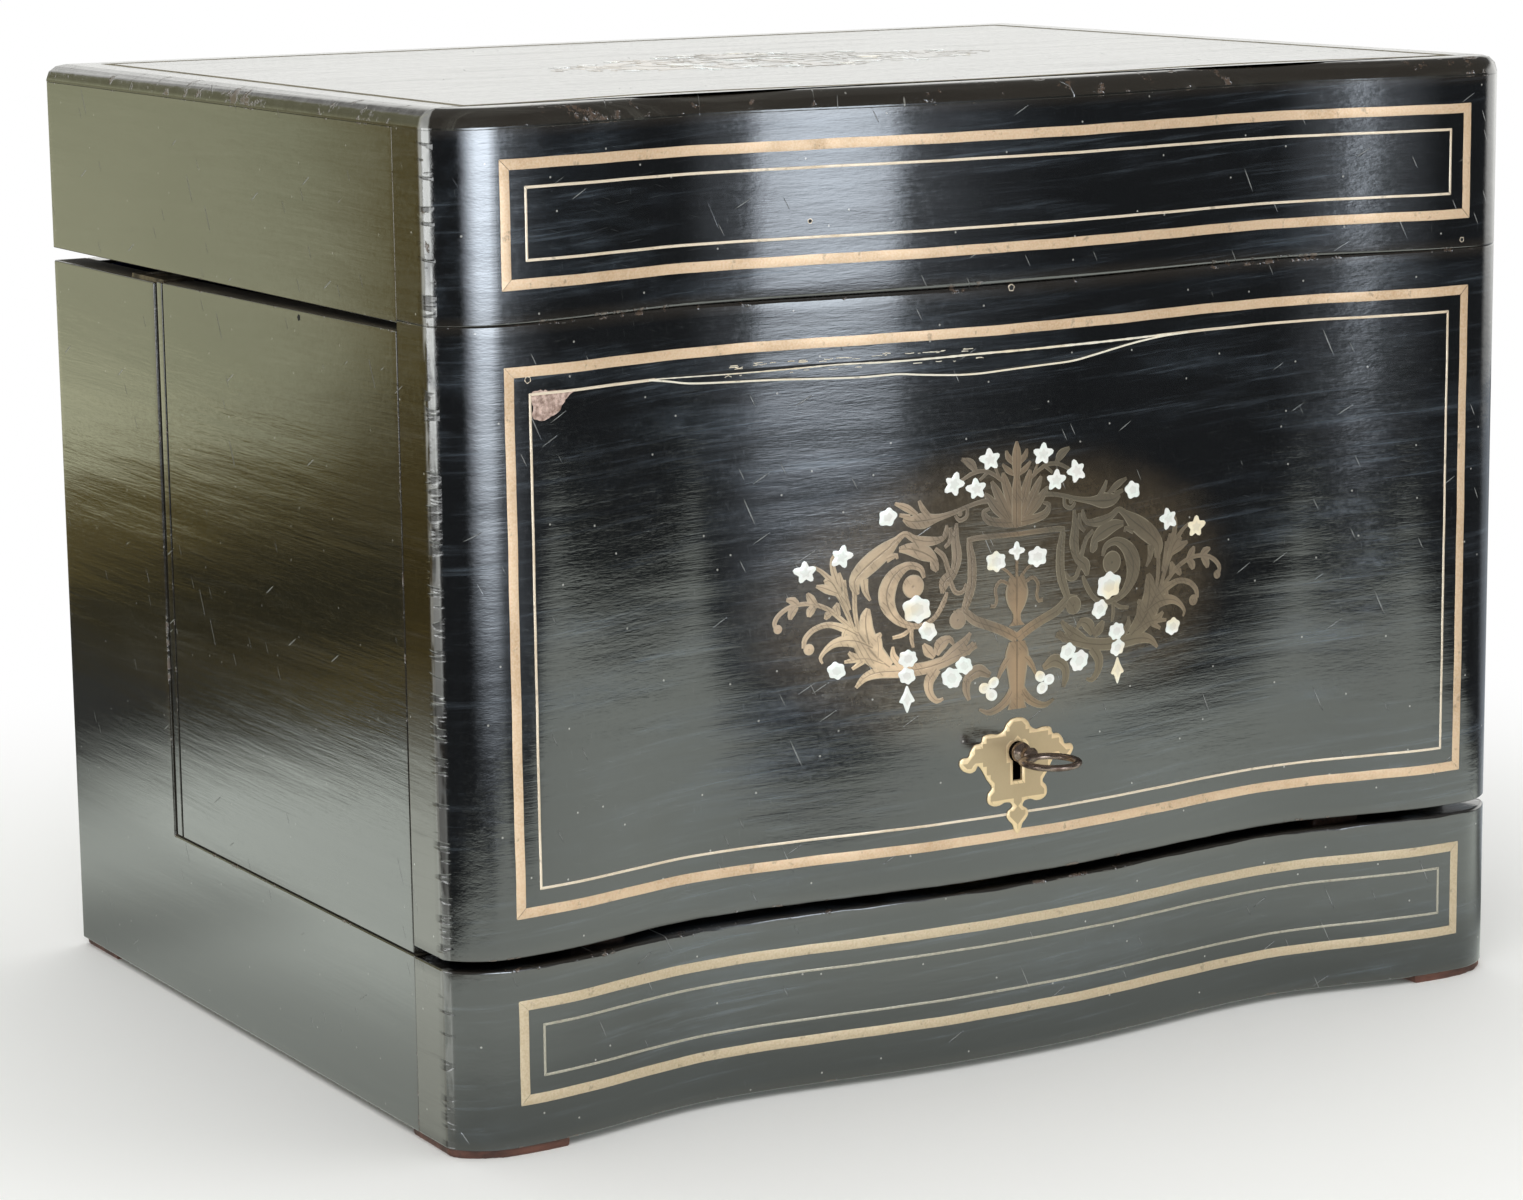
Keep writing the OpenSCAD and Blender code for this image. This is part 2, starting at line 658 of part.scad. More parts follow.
knuckle_l = hinge_l / 3;
module hinge_pin_hole()
    for (s = [-1, 1])
        translate([s * hinge_x - hinge_l / 2 - 1, hinge_y, hinge_z])
            rotate([0, 90, 0])
                cylinder(r = hinge_pin_r + running, h = hinge_l + 2, $fn = 32);
module knuckle(x0, l)
    translate([x0, hinge_y, hinge_z]) rotate([0, 90, 0]) cylinder(r = knuckle_r, h = l, $fn = 32);
module leaf_tongue(x0, l, z0)
    translate([x0, y_back - 0.5, z0]) cube([l, hinge_y - y_back + 0.5, leaf_t]);
module case_hinge_leaves() {
    color([0.78, 0.6, 0.3])
        difference() {
            for (s = [-1, 1]) {
                translate([s * hinge_x - hinge_l / 2, y_back - leaf_w, z_body])
                    cube([hinge_l, leaf_w, leaf_t]);
                for (x = [s * hinge_x - hinge_l / 2, s * hinge_x + hinge_l / 2 - knuckle_l + knuckle_gap]) {
                    leaf_tongue(x, knuckle_l - knuckle_gap, z_body);
                    knuckle(x, knuckle_l - knuckle_gap);
                }
            }
            hinge_pin_hole();
            hinge_leaf_screws() translate([0, 0, z_body + leaf_t]) screw_hole();
        }
}
module lid_hinge_leaves() {
    color([0.78, 0.6, 0.3])
        difference() {
            for (s = [-1, 1]) {
                translate([s * hinge_x - hinge_l / 2, y_back - leaf_w, z_lid - leaf_t])
                    cube([hinge_l, leaf_w, leaf_t]);
                leaf_tongue(s * hinge_x - knuckle_l / 2, knuckle_l, z_lid - leaf_t);
                knuckle(s * hinge_x - knuckle_l / 2, knuckle_l);
            }
            hinge_pin_hole();
            hinge_leaf_screws() translate([0, 0, z_lid - leaf_t]) rotate([180, 0, 0]) screw_hole();
        }
}
module hinge_pins() {
    color([0.7, 0.55, 0.3])
        for (s = [-1, 1])
            translate([s * hinge_x - hinge_l / 2, hinge_y, hinge_z])
                rotate([0, 90, 0])
                    cylinder(r = hinge_pin_r, h = hinge_l, $fn = 32);
}
module case_screws() {
    color([0.75, 0.6, 0.34]) {
        hinge_leaf_screws() translate([0, 0, z_body + leaf_t]) screw();
        at_strike_screws() screw();
        for (s = [-1, 1]) right_or_left(s)
            for (y = plate_screw_y)
                translate([half_w - plate_w / 2 - 0.5, y, z_body + plate_t]) screw();
    }
}

// ---- Front panel, lock and key ----

lock_w = 42;
lock_h = 44;
lock_d = 10;
lock_wall = 1.4;
cap_w = 56;
cap_t = 1.4;
cap_screw_x = cap_w / 2 - 3.2;
strap_x = 118;
strap_w = 18;
strap_l = 56;
strap_t = 1.5;
strap_screw_z = [-20, -10, 10, 20];
module at_strap_screws()
    for (s = [-1, 1]) for (z = strap_screw_z)
        translate([s * strap_x, y_seam + strap_t, z_lid + z]) rotate([-90, 0, 0]) children();
module at_cap_screws()
    for (s = [-1, 1]) for (z = [z_panel + 6, z_panel + lock_h - 6])
        translate([s * cap_screw_x, y_seam + cap_t, z]) rotate([-90, 0, 0]) children();
module lock_pocket()
    translate([-lock_w / 2, y_seam - lock_d, z_panel - 1])
        cube([lock_w, lock_d + 1, lock_h + 1]);

module front_panel() {
    color([0.09, 0.1, 0.11])
        difference() {
            front_board(z_panel, z_lid);
            face_recess(z_panel, z_lid) {
                band_block(panel_band[0], panel_band[1]);
                string_block(panel_band[0], panel_band[1]);
                brass_block();
                pearl_block();
                plate_block();
            }
            lock_pocket();
            keyhole_block();
            at_strap_screws() screw_hole();
            at_cap_screws() screw_hole();
        }
}
module panel_inlay_band() {
    color([0.88, 0.66, 0.47])
        difference() {
            face_inlay(z_panel, z_lid) band_block(panel_band[0], panel_band[1]);
            plate_block();
        }
}
module panel_inlay_string() {
    color([0.88, 0.74, 0.52])
        difference() {
            face_inlay(z_panel, z_lid) string_block(panel_band[0], panel_band[1]);
            plate_block();
        }
}
module cartouche_brass() {
    color([0.66, 0.52, 0.33])
        difference() {
            face_inlay(z_panel, z_lid) brass_block();
            plate_block();
        }
}
module cartouche_pearl() {
    color([0.94, 0.94, 0.88]) face_inlay(z_panel, z_lid) pearl_block();
}
module escutcheon() {
    color([0.72, 0.55, 0.32])
        difference() {
            intersection() {
                front_skin(z_panel, z_lid, inlay_t, escutcheon_proud);
                plate_block();
            }
            keyhole_block();
        }
}
module front_lining() {
    color([0.16, 0.2, 0.42])
        difference() {
            translate([-inner_x + lining_in, y_seam, z_panel + lining_in])
                cube([2 * (inner_x - lining_in), lining_t, z_lid - z_panel - 2 * lining_in]);
            translate([-cap_w / 2, y_seam - 1, z_panel]) cube([cap_w, 4, lock_h + 2]);
            for (s = [-1, 1])
                translate([s * strap_x - strap_w / 2, y_seam - 1, z_lid - strap_l / 2])
                    cube([strap_w, 4, strap_l]);
        }
}
module corner_straps() {
    color([0.78, 0.6, 0.3])
        difference() {
            for (s = [-1, 1])
                translate([s * strap_x - strap_w / 2, y_seam, z_lid - strap_l / 2])
                    cube([strap_w, strap_t, strap_l]);
            at_strap_screws() screw_hole();
        }
}
module lock_case() {
    color([0.74, 0.58, 0.3])
        difference() {
            translate([-lock_w / 2, y_seam - lock_d, z_panel])
                cube([lock_w, lock_d, lock_h]);
            translate([-lock_w / 2 + lock_wall, y_seam - lock_d + lock_wall, z_panel + lock_wall])
                cube([lock_w - 2 * lock_wall, lock_d, lock_h - 2 * lock_wall]);
            bolt_slot(z_panel - 1, z_panel + lock_wall + 1);
            keyhole_block();
        }
}
module lock_cap() {
    color([0.78, 0.6, 0.3])
        difference() {
            translate([-cap_w / 2, y_seam, z_panel]) cube([cap_w, cap_t, lock_h]);
            at_cap_screws() screw_hole();
        }
}
drill_pin_r = 0.9;
module lock_pin() {
    color([0.5, 0.5, 0.5])
        translate([0, y_seam, z_key])
            rotate([90, 0, 0]) cylinder(r = drill_pin_r, h = 7.6, $fn = 24);
}
bit_reach = 6.4;
bit_t = 1.4;
bit_l = 3;
bit_y = y_seam - 6;
bolt_l = key_z - bit_reach - 5;
bolt_z = z_panel + 0.6;
module lock_bolt() {
    color([0.8, 0.64, 0.36])
        translate([-bolt_w / 2, bolt_y - bolt_d / 2, bolt_z]) cube([bolt_w, bolt_d, bolt_l]);
}
// Flat spring that presses on the bolt's edge.
spring_t = 0.6;
module lock_spring() {
    wall_x = lock_w / 2 - lock_wall;
    edge_x = bolt_w / 2 + fit;
    color([0.55, 0.56, 0.58])
        translate([0, bolt_y + bolt_d / 2, z_panel])
            rotate([90, 0, 0])
                linear_extrude(bolt_d)
                    polygon([[wall_x, 4], [wall_x, 16], [wall_x - spring_t, 16],
                             [wall_x - spring_t, 5.6], [edge_x + spring_t, 12],
                             [edge_x, 12], [edge_x, 11.2]]);
}
wire_r = 1.5;
bow_y = key_tip_y + bow_r;
module key() {
    color([0.3, 0.26, 0.2])
        translate([0, 0, z_key]) {
            difference() {
                union() {
                    translate([0, y_seam - 1.2, 0])
                        rotate([90, 0, 0])
                            cylinder(r = shank_r, h = y_seam - 1.2 - bow_y - bow_r + wire_r, $fn = 32);
                    translate([-bit_reach, bit_y - bit_l / 2, -bit_t / 2]) cube([bit_reach, bit_l, bit_t]);
                    translate([0, plate_y - 2, 0])
                        rotate([90, 0, 0]) cylinder(r = shank_r + 0.9, h = 1.6, $fn = 32);
                }
                translate([0, y_seam, 0])
                    rotate([90, 0, 0]) cylinder(r = drill_pin_r + running, h = 9, $fn = 24);
            }
            translate([0, bow_y, 0])
                rotate_extrude($fn = 64)
                    translate([bow_r - wire_r, 0]) circle(wire_r, $fn = 32);
        }
}
module lid_screws() {
    color([0.75, 0.6, 0.34]) {
        hinge_leaf_screws() translate([0, 0, z_lid - leaf_t]) rotate([180, 0, 0]) screw();
        at_strap_screws() screw();
        at_cap_screws() screw();
    }
}
buffer_w = 16;
module lid_buffers() {
    color([0.35, 0.2, 0.12])
        for (s = [-1, 1])
            translate([s * strap_x - buffer_w / 2, y_seam - 9, z_plinth])
                cube([buffer_w, 7, panel_gap]);
}

// ---- Lift-out caddy ----

caddy_x = inner_x - caddy_side_gap;
caddy_y0 = y_seam + caddy_front_gap;
caddy_y1 = y_inner - caddy_back_gap;
caddy_w = 2 * caddy_x;
caddy_d = caddy_y1 - caddy_y0;
z_caddy = z_floor + lining_t;
z_tray = z_caddy + caddy_t + column_h;
column_r = 3;
column_in = 14;
flange_w = 2;
flange_h = 3;
collar_w = 1.2;
collar_h = 4;
module at_columns()
    for (x = [-caddy_x + column_in, caddy_x - column_in])
        for (y = [caddy_y0 + column_in, caddy_y1 - column_in])
            translate([x, y, 0]) children();
module caddy_box(z, h)
    difference() {
        translate([-caddy_x, caddy_y0, z]) cube([caddy_w, caddy_d, h]);
        translate([-caddy_x + caddy_t, caddy_y0 + caddy_t, z + caddy_t])
            cube([caddy_w - 2 * caddy_t, caddy_d - 2 * caddy_t, h]);
    }
module caddy_deck() {
    color([0.12, 0.1, 0.09]) caddy_box(z_caddy, caddy_t + rim_h);
}
module deck_lining() {
    color([0.16, 0.2, 0.42])
        difference() {
            translate([-caddy_x + caddy_t, caddy_y0 + caddy_t, z_caddy + caddy_t])
                cube([caddy_w - 2 * caddy_t, caddy_d - 2 * caddy_t, lining_t]);
            at_columns()
                translate([0, 0, z_caddy])
                    cylinder(r = column_r + flange_w + fit, h = rim_h, $fn = 32);
        }
}
// Turned brass column with a foot and a cap ring.
module caddy_columns() {
    color([0.8, 0.62, 0.3])
        at_columns() translate([0, 0, z_caddy + caddy_t]) {
            cylinder(r = column_r, h = column_h, $fn = 32);
            for (z = [0, column_h - flange_h])
                translate([0, 0, z]) cylinder(r = column_r + flange_w, h = flange_h, $fn = 32);
            translate([0, 0, (column_h - collar_h) / 2])
                cylinder(r = column_r + collar_w, h = collar_h, $fn = 32);
        }
}
module caddy_tray() {
    color([0.12, 0.1, 0.09]) caddy_box(z_tray, tray_h);
}
z_tray_floor = z_tray + caddy_t;
module tray_lining() {
    color([0.16, 0.2, 0.42])
        translate([-caddy_x + caddy_t, caddy_y0 + caddy_t, z_tray_floor])
            cube([caddy_w - 2 * caddy_t, caddy_d - 2 * caddy_t, lining_t]);
}
divider_h = tray_h - caddy_t - 5;
middle_w = 10;
caddy_mid = (caddy_y0 + caddy_y1) / 2;
tray_x = caddy_x - caddy_t;
z_divider = z_tray_floor + lining_t;
// Middle bar across the tray, with cross strips that part the compartments.
module tray_dividers() {
    color([0.14, 0.11, 0.1]) {
        translate([-tray_x, caddy_mid - middle_w / 2, z_divider])
            cube([2 * tray_x, middle_w, divider_h]);
        for (x = [tray_x / 3, 2 * tray_x / 3])
            translate([x - 2, caddy_y0 + caddy_t, z_divider])
                cube([4, caddy_mid - middle_w / 2 - caddy_y0 - caddy_t, divider_h]);
        translate([-2, caddy_y0 + caddy_t, z_divider])
            cube([4, caddy_mid - middle_w / 2 - caddy_y0 - caddy_t, divider_h]);
        translate([-2, caddy_mid + middle_w / 2, z_divider])
            cube([4, caddy_y1 - caddy_t - caddy_mid - middle_w / 2, divider_h]);
    }
}
roll_pitch = 2 * roll_r + 1;
roll_l = tray_x - 2 - 2 * fit;
roll_room = caddy_mid - middle_w / 2 - caddy_y0 - caddy_t;
roll_n = floor(roll_room / roll_pitch);
roll_y0 = caddy_y0 + caddy_t + (roll_room - roll_n * roll_pitch) / 2 + roll_pitch / 2;
module ring_rolls() {
    color([0.2, 0.25, 0.5])
        for (i = [0:roll_n - 1])
            translate([-tray_x + fit, roll_y0 + i * roll_pitch, z_divider + roll_r])
                rotate([0, 90, 0])
                    cylinder(r = roll_r, h = roll_l, $fn = 32);
}
handle_x = 46;
handle_post_r = 2.2;
handle_grip_r = 3;
handle_rise = 24;
handle_over = 5;
z_handle = z_divider + divider_h;
module caddy_handle() {
    color([0.82, 0.65, 0.34])
        translate([0, caddy_mid, z_handle]) {
            for (s = [-1, 1]) translate([s * handle_x, 0, 0]) {
                cylinder(r = handle_post_r + 2, h = 1.6, $fn = 32);
                cylinder(r = handle_post_r, h = handle_rise, $fn = 32);
            }
            translate([-handle_x - handle_over, 0, handle_rise])
                rotate([0, 90, 0])
                    cylinder(r = handle_grip_r, h = 2 * (handle_x + handle_over), $fn = 32);
        }
}

translate([0, shift_y, 0]) plinth_front();
translate([0, shift_y, 0]) plinth_inlay_band();
translate([0, shift_y, 0]) plinth_inlay_string();
translate([0, shift_y, 0]) strike_plate();
translate([0, shift_y, 0]) side_board_left();
translate([0, shift_y, 0]) side_board_right();
translate([0, shift_y, 0]) back_board();
translate([0, shift_y, 0]) bottom_board();
translate([0, shift_y, 0]) glue_blocks();
translate([0, shift_y, 0]) feet();
translate([0, shift_y, 0]) floor_lining();
translate([0, shift_y, 0]) back_lining();
translate([0, shift_y, 0]) door_pins();
translate([0, shift_y, 0]) pivot_plates();
translate([0, shift_y, 0]) case_hinge_leaves();
translate([0, shift_y, 0]) hinge_pins();
translate([0, shift_y, 0]) case_screws();
translate([0, shift_y, 0]) lid_buffers();
translate([0, shift_y, 0]) door_left();
translate([0, shift_y, 0]) door_left_lining();
translate([0, shift_y, 0]) door_left_hooks();
translate([0, shift_y, 0]) door_right();
translate([0, shift_y, 0]) door_right_lining();
translate([0, shift_y, 0]) door_right_hooks();
translate([0, shift_y, 0]) lid_top();
translate([0, shift_y, 0]) top_inlay_band();
translate([0, shift_y, 0]) top_marquetry_brass();
translate([0, shift_y, 0]) top_marquetry_pearl();
translate([0, shift_y, 0]) lid_front_rail();
translate([0, shift_y, 0]) lid_inlay_band();
translate([0, shift_y, 0]) lid_inlay_string();
translate([0, shift_y, 0]) lid_rail_left();
translate([0, shift_y, 0]) lid_rail_right();
translate([0, shift_y, 0]) lid_back_rail();
translate([0, shift_y, 0]) lid_pad();
translate([0, shift_y, 0]) lid_hinge_leaves();
translate([0, shift_y, 0]) lid_screws();
translate([0, shift_y, 0]) front_panel();
translate([0, shift_y, 0]) panel_inlay_band();
translate([0, shift_y, 0]) panel_inlay_string();
translate([0, shift_y, 0]) cartouche_brass();
translate([0, shift_y, 0]) cartouche_pearl();
translate([0, shift_y, 0]) escutcheon();
translate([0, shift_y, 0]) front_lining();
translate([0, shift_y, 0]) corner_straps();
translate([0, shift_y, 0]) lock_case();
translate([0, shift_y, 0]) lock_cap();
translate([0, shift_y, 0]) lock_pin();
translate([0, shift_y, 0]) lock_spring();
translate([0, shift_y, 0]) lock_bolt();
translate([0, shift_y, 0]) key();
translate([0, shift_y, 0]) caddy_deck();
translate([0, shift_y, 0]) deck_lining();
translate([0, shift_y, 0]) caddy_columns();
translate([0, shift_y, 0]) caddy_tray();
translate([0, shift_y, 0]) tray_lining();
translate([0, shift_y, 0]) tray_dividers();
translate([0, shift_y, 0]) ring_rolls();
translate([0, shift_y, 0]) caddy_handle();
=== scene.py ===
import math

import bmesh
import bpy
import numpy as np
from mathutils import Matrix, Vector
from mathutils.geometry import delaunay_2d_cdt


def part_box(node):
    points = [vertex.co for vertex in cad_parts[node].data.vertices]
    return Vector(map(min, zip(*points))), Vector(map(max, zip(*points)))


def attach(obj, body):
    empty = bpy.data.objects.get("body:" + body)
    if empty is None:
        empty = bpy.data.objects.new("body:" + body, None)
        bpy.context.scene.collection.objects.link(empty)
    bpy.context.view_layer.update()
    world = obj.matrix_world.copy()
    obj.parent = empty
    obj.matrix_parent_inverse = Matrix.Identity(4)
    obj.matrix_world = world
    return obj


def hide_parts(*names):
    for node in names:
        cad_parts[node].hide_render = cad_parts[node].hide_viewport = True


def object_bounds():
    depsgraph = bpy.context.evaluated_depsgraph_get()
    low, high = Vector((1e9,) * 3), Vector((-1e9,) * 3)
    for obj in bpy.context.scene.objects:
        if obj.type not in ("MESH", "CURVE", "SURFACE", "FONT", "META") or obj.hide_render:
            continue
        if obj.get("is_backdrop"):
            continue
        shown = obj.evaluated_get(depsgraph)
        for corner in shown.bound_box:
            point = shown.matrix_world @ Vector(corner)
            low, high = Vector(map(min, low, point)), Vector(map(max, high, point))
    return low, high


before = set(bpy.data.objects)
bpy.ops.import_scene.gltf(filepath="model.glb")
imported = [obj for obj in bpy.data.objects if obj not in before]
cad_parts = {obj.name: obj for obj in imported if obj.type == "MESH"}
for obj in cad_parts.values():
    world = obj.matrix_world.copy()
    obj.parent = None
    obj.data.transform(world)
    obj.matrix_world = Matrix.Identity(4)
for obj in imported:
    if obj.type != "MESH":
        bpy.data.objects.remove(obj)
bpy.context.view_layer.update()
MM = 0.001

# ---- Places taken from the frame, in metres ----

panel_low, panel_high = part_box("front_panel")
side_low, side_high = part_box("side_board_right")
door_low, door_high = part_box("door_right")
top_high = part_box("lid_top")[1]
PLINTH_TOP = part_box("plinth_front")[1].z
HALF_W = panel_high.x
INNER_X = side_low.x
FRONT = panel_low.y
SEAM = panel_high.y
BACK = top_high.y

# The serpentine: how far from the middle and how deep its hollows lie, and how far back
# its middle bow; where its flanks end, and the radius and start of its rounded corners.
# The power widens the bow, and the easing bends the corner on from the flank.
HOLLOW_X = 87 * MM
HOLLOW_D = 8 * MM
HOLLOW_POWER = 1.2
BOW_D = 1.2 * MM
FLANK_X = HALF_W - 19.5 * MM
CORNER_R = 18 * MM
SHOULDER_X = HALF_W - 15 * MM
EASING = 1.5


def setback(x):
    """How far the serpentine front lies behind its foremost point."""
    a = np.abs(np.asarray(x, float))
    bow = BOW_D + (HOLLOW_D - BOW_D) * (1 - np.cos(np.pi * (a / HOLLOW_X) ** HOLLOW_POWER)) / 2
    flank = HOLLOW_D * (1 + np.cos(np.pi * (a - HOLLOW_X) / (FLANK_X - HOLLOW_X))) / 2
    corner = CORNER_R - np.sqrt(CORNER_R**2 - np.clip(a - SHOULDER_X, 0, CORNER_R) ** 2)
    corner = corner + EASING * (a - FLANK_X) ** 2
    return np.where(a <= HOLLOW_X, bow, np.where(a <= FLANK_X, flank, corner))


def on_front(x, z, proud=0.0):
    """Points on the serpentine face at (x, z), moved out of it by proud."""
    x, z = np.asarray(x, float), np.asarray(z, float)
    tiny = 1e-6
    slope = (setback(x + tiny) - setback(x - tiny)) / (2 * tiny)
    size = np.sqrt(1 + slope**2)
    return np.stack([x + proud * slope / size, FRONT + setback(x) - proud / size, z], -1)


# ---- Node materials ----
# Colours are linear red, green and blue; the object's own coordinates are in metres.


class Value:
    """A node's output. Arithmetic on it adds maths nodes to the tree being built."""

    tree = None

    def __init__(self, socket):
        self.socket = socket

    def __getitem__(self, output):
        """Another output of the same node."""
        return Value(self.socket.node.outputs[output])

    def __add__(self, other):
        return maths("ADD", self, other)

    def __sub__(self, other):
        return maths("SUBTRACT", self, other)

    def __mul__(self, other):
        return maths("MULTIPLY", self, other)


def connect(node, inputs):
    """Sets a node's inputs to numbers, colours or other nodes' outputs."""
    for key, value in inputs.items():
        socket = node.inputs[key]
        if isinstance(value, Value):
            Value.tree.links.new(value.socket, socket)
        else:
            socket.default_value = (*value, 1) if socket.type == "RGBA" else value


def add(kind, inputs=(), **settings):
    """New shader node in the tree being built; gives its first output."""
    made = Value.tree.nodes.new("ShaderNode" + kind)
    for key, value in settings.items():
        setattr(made, key, value)
    connect(made, dict(inputs))
    return Value(made.outputs[0])


def maths(operation, a, b=0.0):
    return add("Math", {0: a, 1: b}, operation=operation)


def most(first, *others):
    for other in others:
        first = maths("MAXIMUM", first, other)
    return first


def measured(operation, vector, other=(0, 0, 0)):
    """Length of a vector, or its distance or dot product with another."""
    return add("VectorMath", {0: vector, 1: other}, operation=operation)["Value"]


def mix(share, under, over):
    """Colour over, laid on the colour under."""
    return add("Mix", {0: share, 6: under, 7: over}, data_type="RGBA")[2]


def layered(colour, *layers):
    """A colour with each layer's (share, colour) laid over it in turn."""
    for share, over in layers:
        colour = mix(share, colour, over)
    return colour


def step(value, low, high, to_low=0.0, to_high=1.0, kind="SMOOTHSTEP"):
    """Step of value from low to high, smooth unless told."""
    return add("MapRange", {0: value, 1: low, 2: high, 3: to_low, 4: to_high}, interpolation_type=kind)


def place(scale=(1, 1, 1), turn=(0, 0, 0)):
    """The object's own coordinates, turned and then scaled."""
    turned = add("Mapping", {"Vector": add("TexCoord")["Object"], "Rotation": turn})
    return add("Mapping", {"Vector": turned, "Scale": scale})


def split(vector):
    """Gives [0], [1] and [2] of coordinates."""
    return add("SeparateXYZ", {0: vector})


def noise(scale, detail=3.0, roughness=0.5, stretch=(1, 1, 1), vector=None):
    return add("TexNoise", {"Vector": vector or place(stretch), "Scale": scale, "Detail": detail,
                            "Roughness": roughness})


def attribute(name):
    return add("Attribute", attribute_name=name)["Fac"]


def bump(height, distance, strength, under=None):
    inputs = {"Height": height, "Distance": distance, "Strength": strength}
    return add("Bump", {**inputs, "Normal": under} if under else inputs)


def material(name):
    """Starts a node material; gives it and its Principled shader."""
    made = bpy.data.materials.new(name)
    made.use_nodes = True
    Value.tree = made.node_tree
    return made, made.node_tree.nodes["Principled BSDF"]


def finished(looks):
    """Makes a function that gives a Principled shader's inputs into one that gives a
    material, whose name comes first."""
    def make(name, *given, **named):
        made, shader = material(name)
        connect(shader, looks(*given, **named))
        return made

    return make


# Axes along the grain of a face, across it and through it.
PLANES = {"front": (0, 2, 1), "side": (1, 2, 0), "top": (0, 1, 2)}


def in_plane(plane, scale, turn):
    """Coordinates along and across the plane of the face, turned and then scaled."""
    along, across, depth = PLANES[plane]
    here = split(place((1, 1, 1), [turn if axis == depth else 0.0 for axis in range(3)]))
    return add("CombineXYZ", {0: here[along] * scale[0], 1: here[across] * scale[1]})


def dots(plane, size, turn, spacing):
    """Mask of one dot or dash in each cell; spacing is its length and height, and size
    how much of the cell it takes."""
    cells = in_plane(plane, (1 / spacing[0], 1 / spacing[1]), turn)
    return step(add("TexVoronoi", {"Vector": cells, "Scale": 1.0}, voronoi_dimensions="2D"),
                size, 0.4 * size)


def scratches(plane, size, *layers):
    """Thin straight dashes in several directions; layers are (turn, length, height)."""
    return most(*(dots(plane, size, turn, spacing) for turn, *spacing in layers))


@finished
def lacquer(plane, base, haze_colour, haze=1.0, halo=False, marked=0.5, shine=1.0, low=None):
    """Black French polish on veneer, with haze, fine polishing lines, scratches, brown
    wear where the mesh's wear attribute is high and dents where its arris is. Along the
    arris a pale painted highlight, stronger higher up, is broken by the dents, whose
    near-black colour is painted shade. The haze colour is partly the polish's own haze
    and partly a painted reflection tint of what the face sees. The grain runs along the
    plane of the face. halo adds the brown rubbed ground round the marquetry of the
    front; marked is how far the scratches show, shine how glossy the polish is and low
    its colour near the table, where given."""

    def drawn(ratio):
        return tuple(1.0 if axis == PLANES[plane][0] else ratio for axis in range(3))

    cloud = noise(9.0, 4.0, 0.6, drawn(9.0))
    patch = noise(16.0, 5.0, 0.65)
    lines = noise(55.0, 3.0, 0.7, drawn(22.0))
    mottle = noise(620.0, 3.0, 0.75)
    dirt = step(cloud, 0.44, 0.74) * step(patch, 0.35, 0.75) * step(lines, 0.2, 0.75, 0.35, 1.0)
    marks = scratches(plane, 0.022, (0.5, 0.13, 0.007), (-1.1, 0.09, 0.006), (2.0, 0.2, 0.009))
    marks = marks * step(noise(31.0, 1.0), 0.5, 0.56)
    fine = scratches(plane, 0.03, (0.12, 0.11, 0.002), (-0.3, 0.07, 0.0018), (1.7, 0.05, 0.002))
    fine = fine * step(patch, 0.4, 0.65)
    streaks = noise(1.0, 4.0, 0.75, vector=in_plane(plane, (14.0, 420.0), 0.05))
    streaks = step(streaks, 0.5, 0.72) * step(cloud, 0.38, 0.62) * marked
    specks = dots(plane, 0.017, 0.4, (0.021, 0.021))
    wear, arris, height = attribute("wear"), attribute("arris"), split(place())[2]
    chips = step(wear + (noise(190.0, 4.0, 0.65) * 0.7 + noise(23.0, 1.0) * 0.3), 1.56, 1.62)
    waves = maths("ABSOLUTE", noise(150.0, stretch=(0.15, 0.15, 1.0)) - 0.5)
    # Nicks across the arris: real dents with a bump; their near-black colour is painted shade that breaks
    # the painted highlight.
    dents = arris * step(waves, 0.035, 0.012)
    # Pale painted highlight along the arris, stronger higher up, where the rounded corner catches the
    # light.
    arris_highlight = (step(arris, 0.3, 0.7) * step(height, 0.08, 0.19, 0.3, 0.9)
            * step(noise(130.0, 3.0, 0.7, (1, 1, 0.25)), 0.42, 0.54))
    if low:
        base = mix(step(height, 0.13, 0.07), base, low)
    # Haze tinted for each face: partly the polish's own haze, partly painted reflection.
    colour = mix(dirt * haze, base, haze_colour)
    if halo:
        here = add("Mapping", {"Vector": place(), "Location": (0.08, 0, -3.75), "Scale": (15.5, 0, 30)})
        rubbed = step(measured("LENGTH", here) + patch * 0.6, 1.6, 1.1)
        colour = mix(rubbed * step(mottle, 0.3, 0.7, 0.6, 0.9), colour, (0.085, 0.064, 0.038))
    colour = layered(
        colour, (streaks, tuple(0.025 + 1.6 * c for c in haze_colour)),
        (fine * (0.3 * marked), (0.3, 0.32, 0.32)), (marks * marked, (0.4, 0.41, 0.4)),
        (specks * (1.2 * marked), (0.6, 0.6, 0.56)), (arris_highlight, (0.50, 0.51, 0.50)),
        (dents, (0.002, 0.002, 0.002)), (wear * 0.45, (0.035, 0.028, 0.02)),
        (chips, (0.075, 0.045, 0.026)))
    broken = most(chips, marks, dents)
    rough = step(lines, 0.2, 0.8, 0.05, 0.13) + dirt * 0.18 + step(mottle, 0.4, 0.8, 0.0, 0.1)
    relief = bump(noise(14.0, 2.0, 0.4, drawn(9.0)), 0.0004, 0.35)
    for level, distance, strength in (
            (lines, 0.00005, 0.6), (mottle, 0.000012, 0.6), (broken, -0.00016, 0.9)):
        relief = bump(level, distance, strength, relief)
    return {
        "Base Color": colour, "Roughness": rough + broken * 0.3, "Normal": relief, "Coat Normal": relief,
        "Specular IOR Level": 0.5 + 0.5 * shine, "Coat Weight": 0.5 * shine, "Coat Roughness": 0.06}


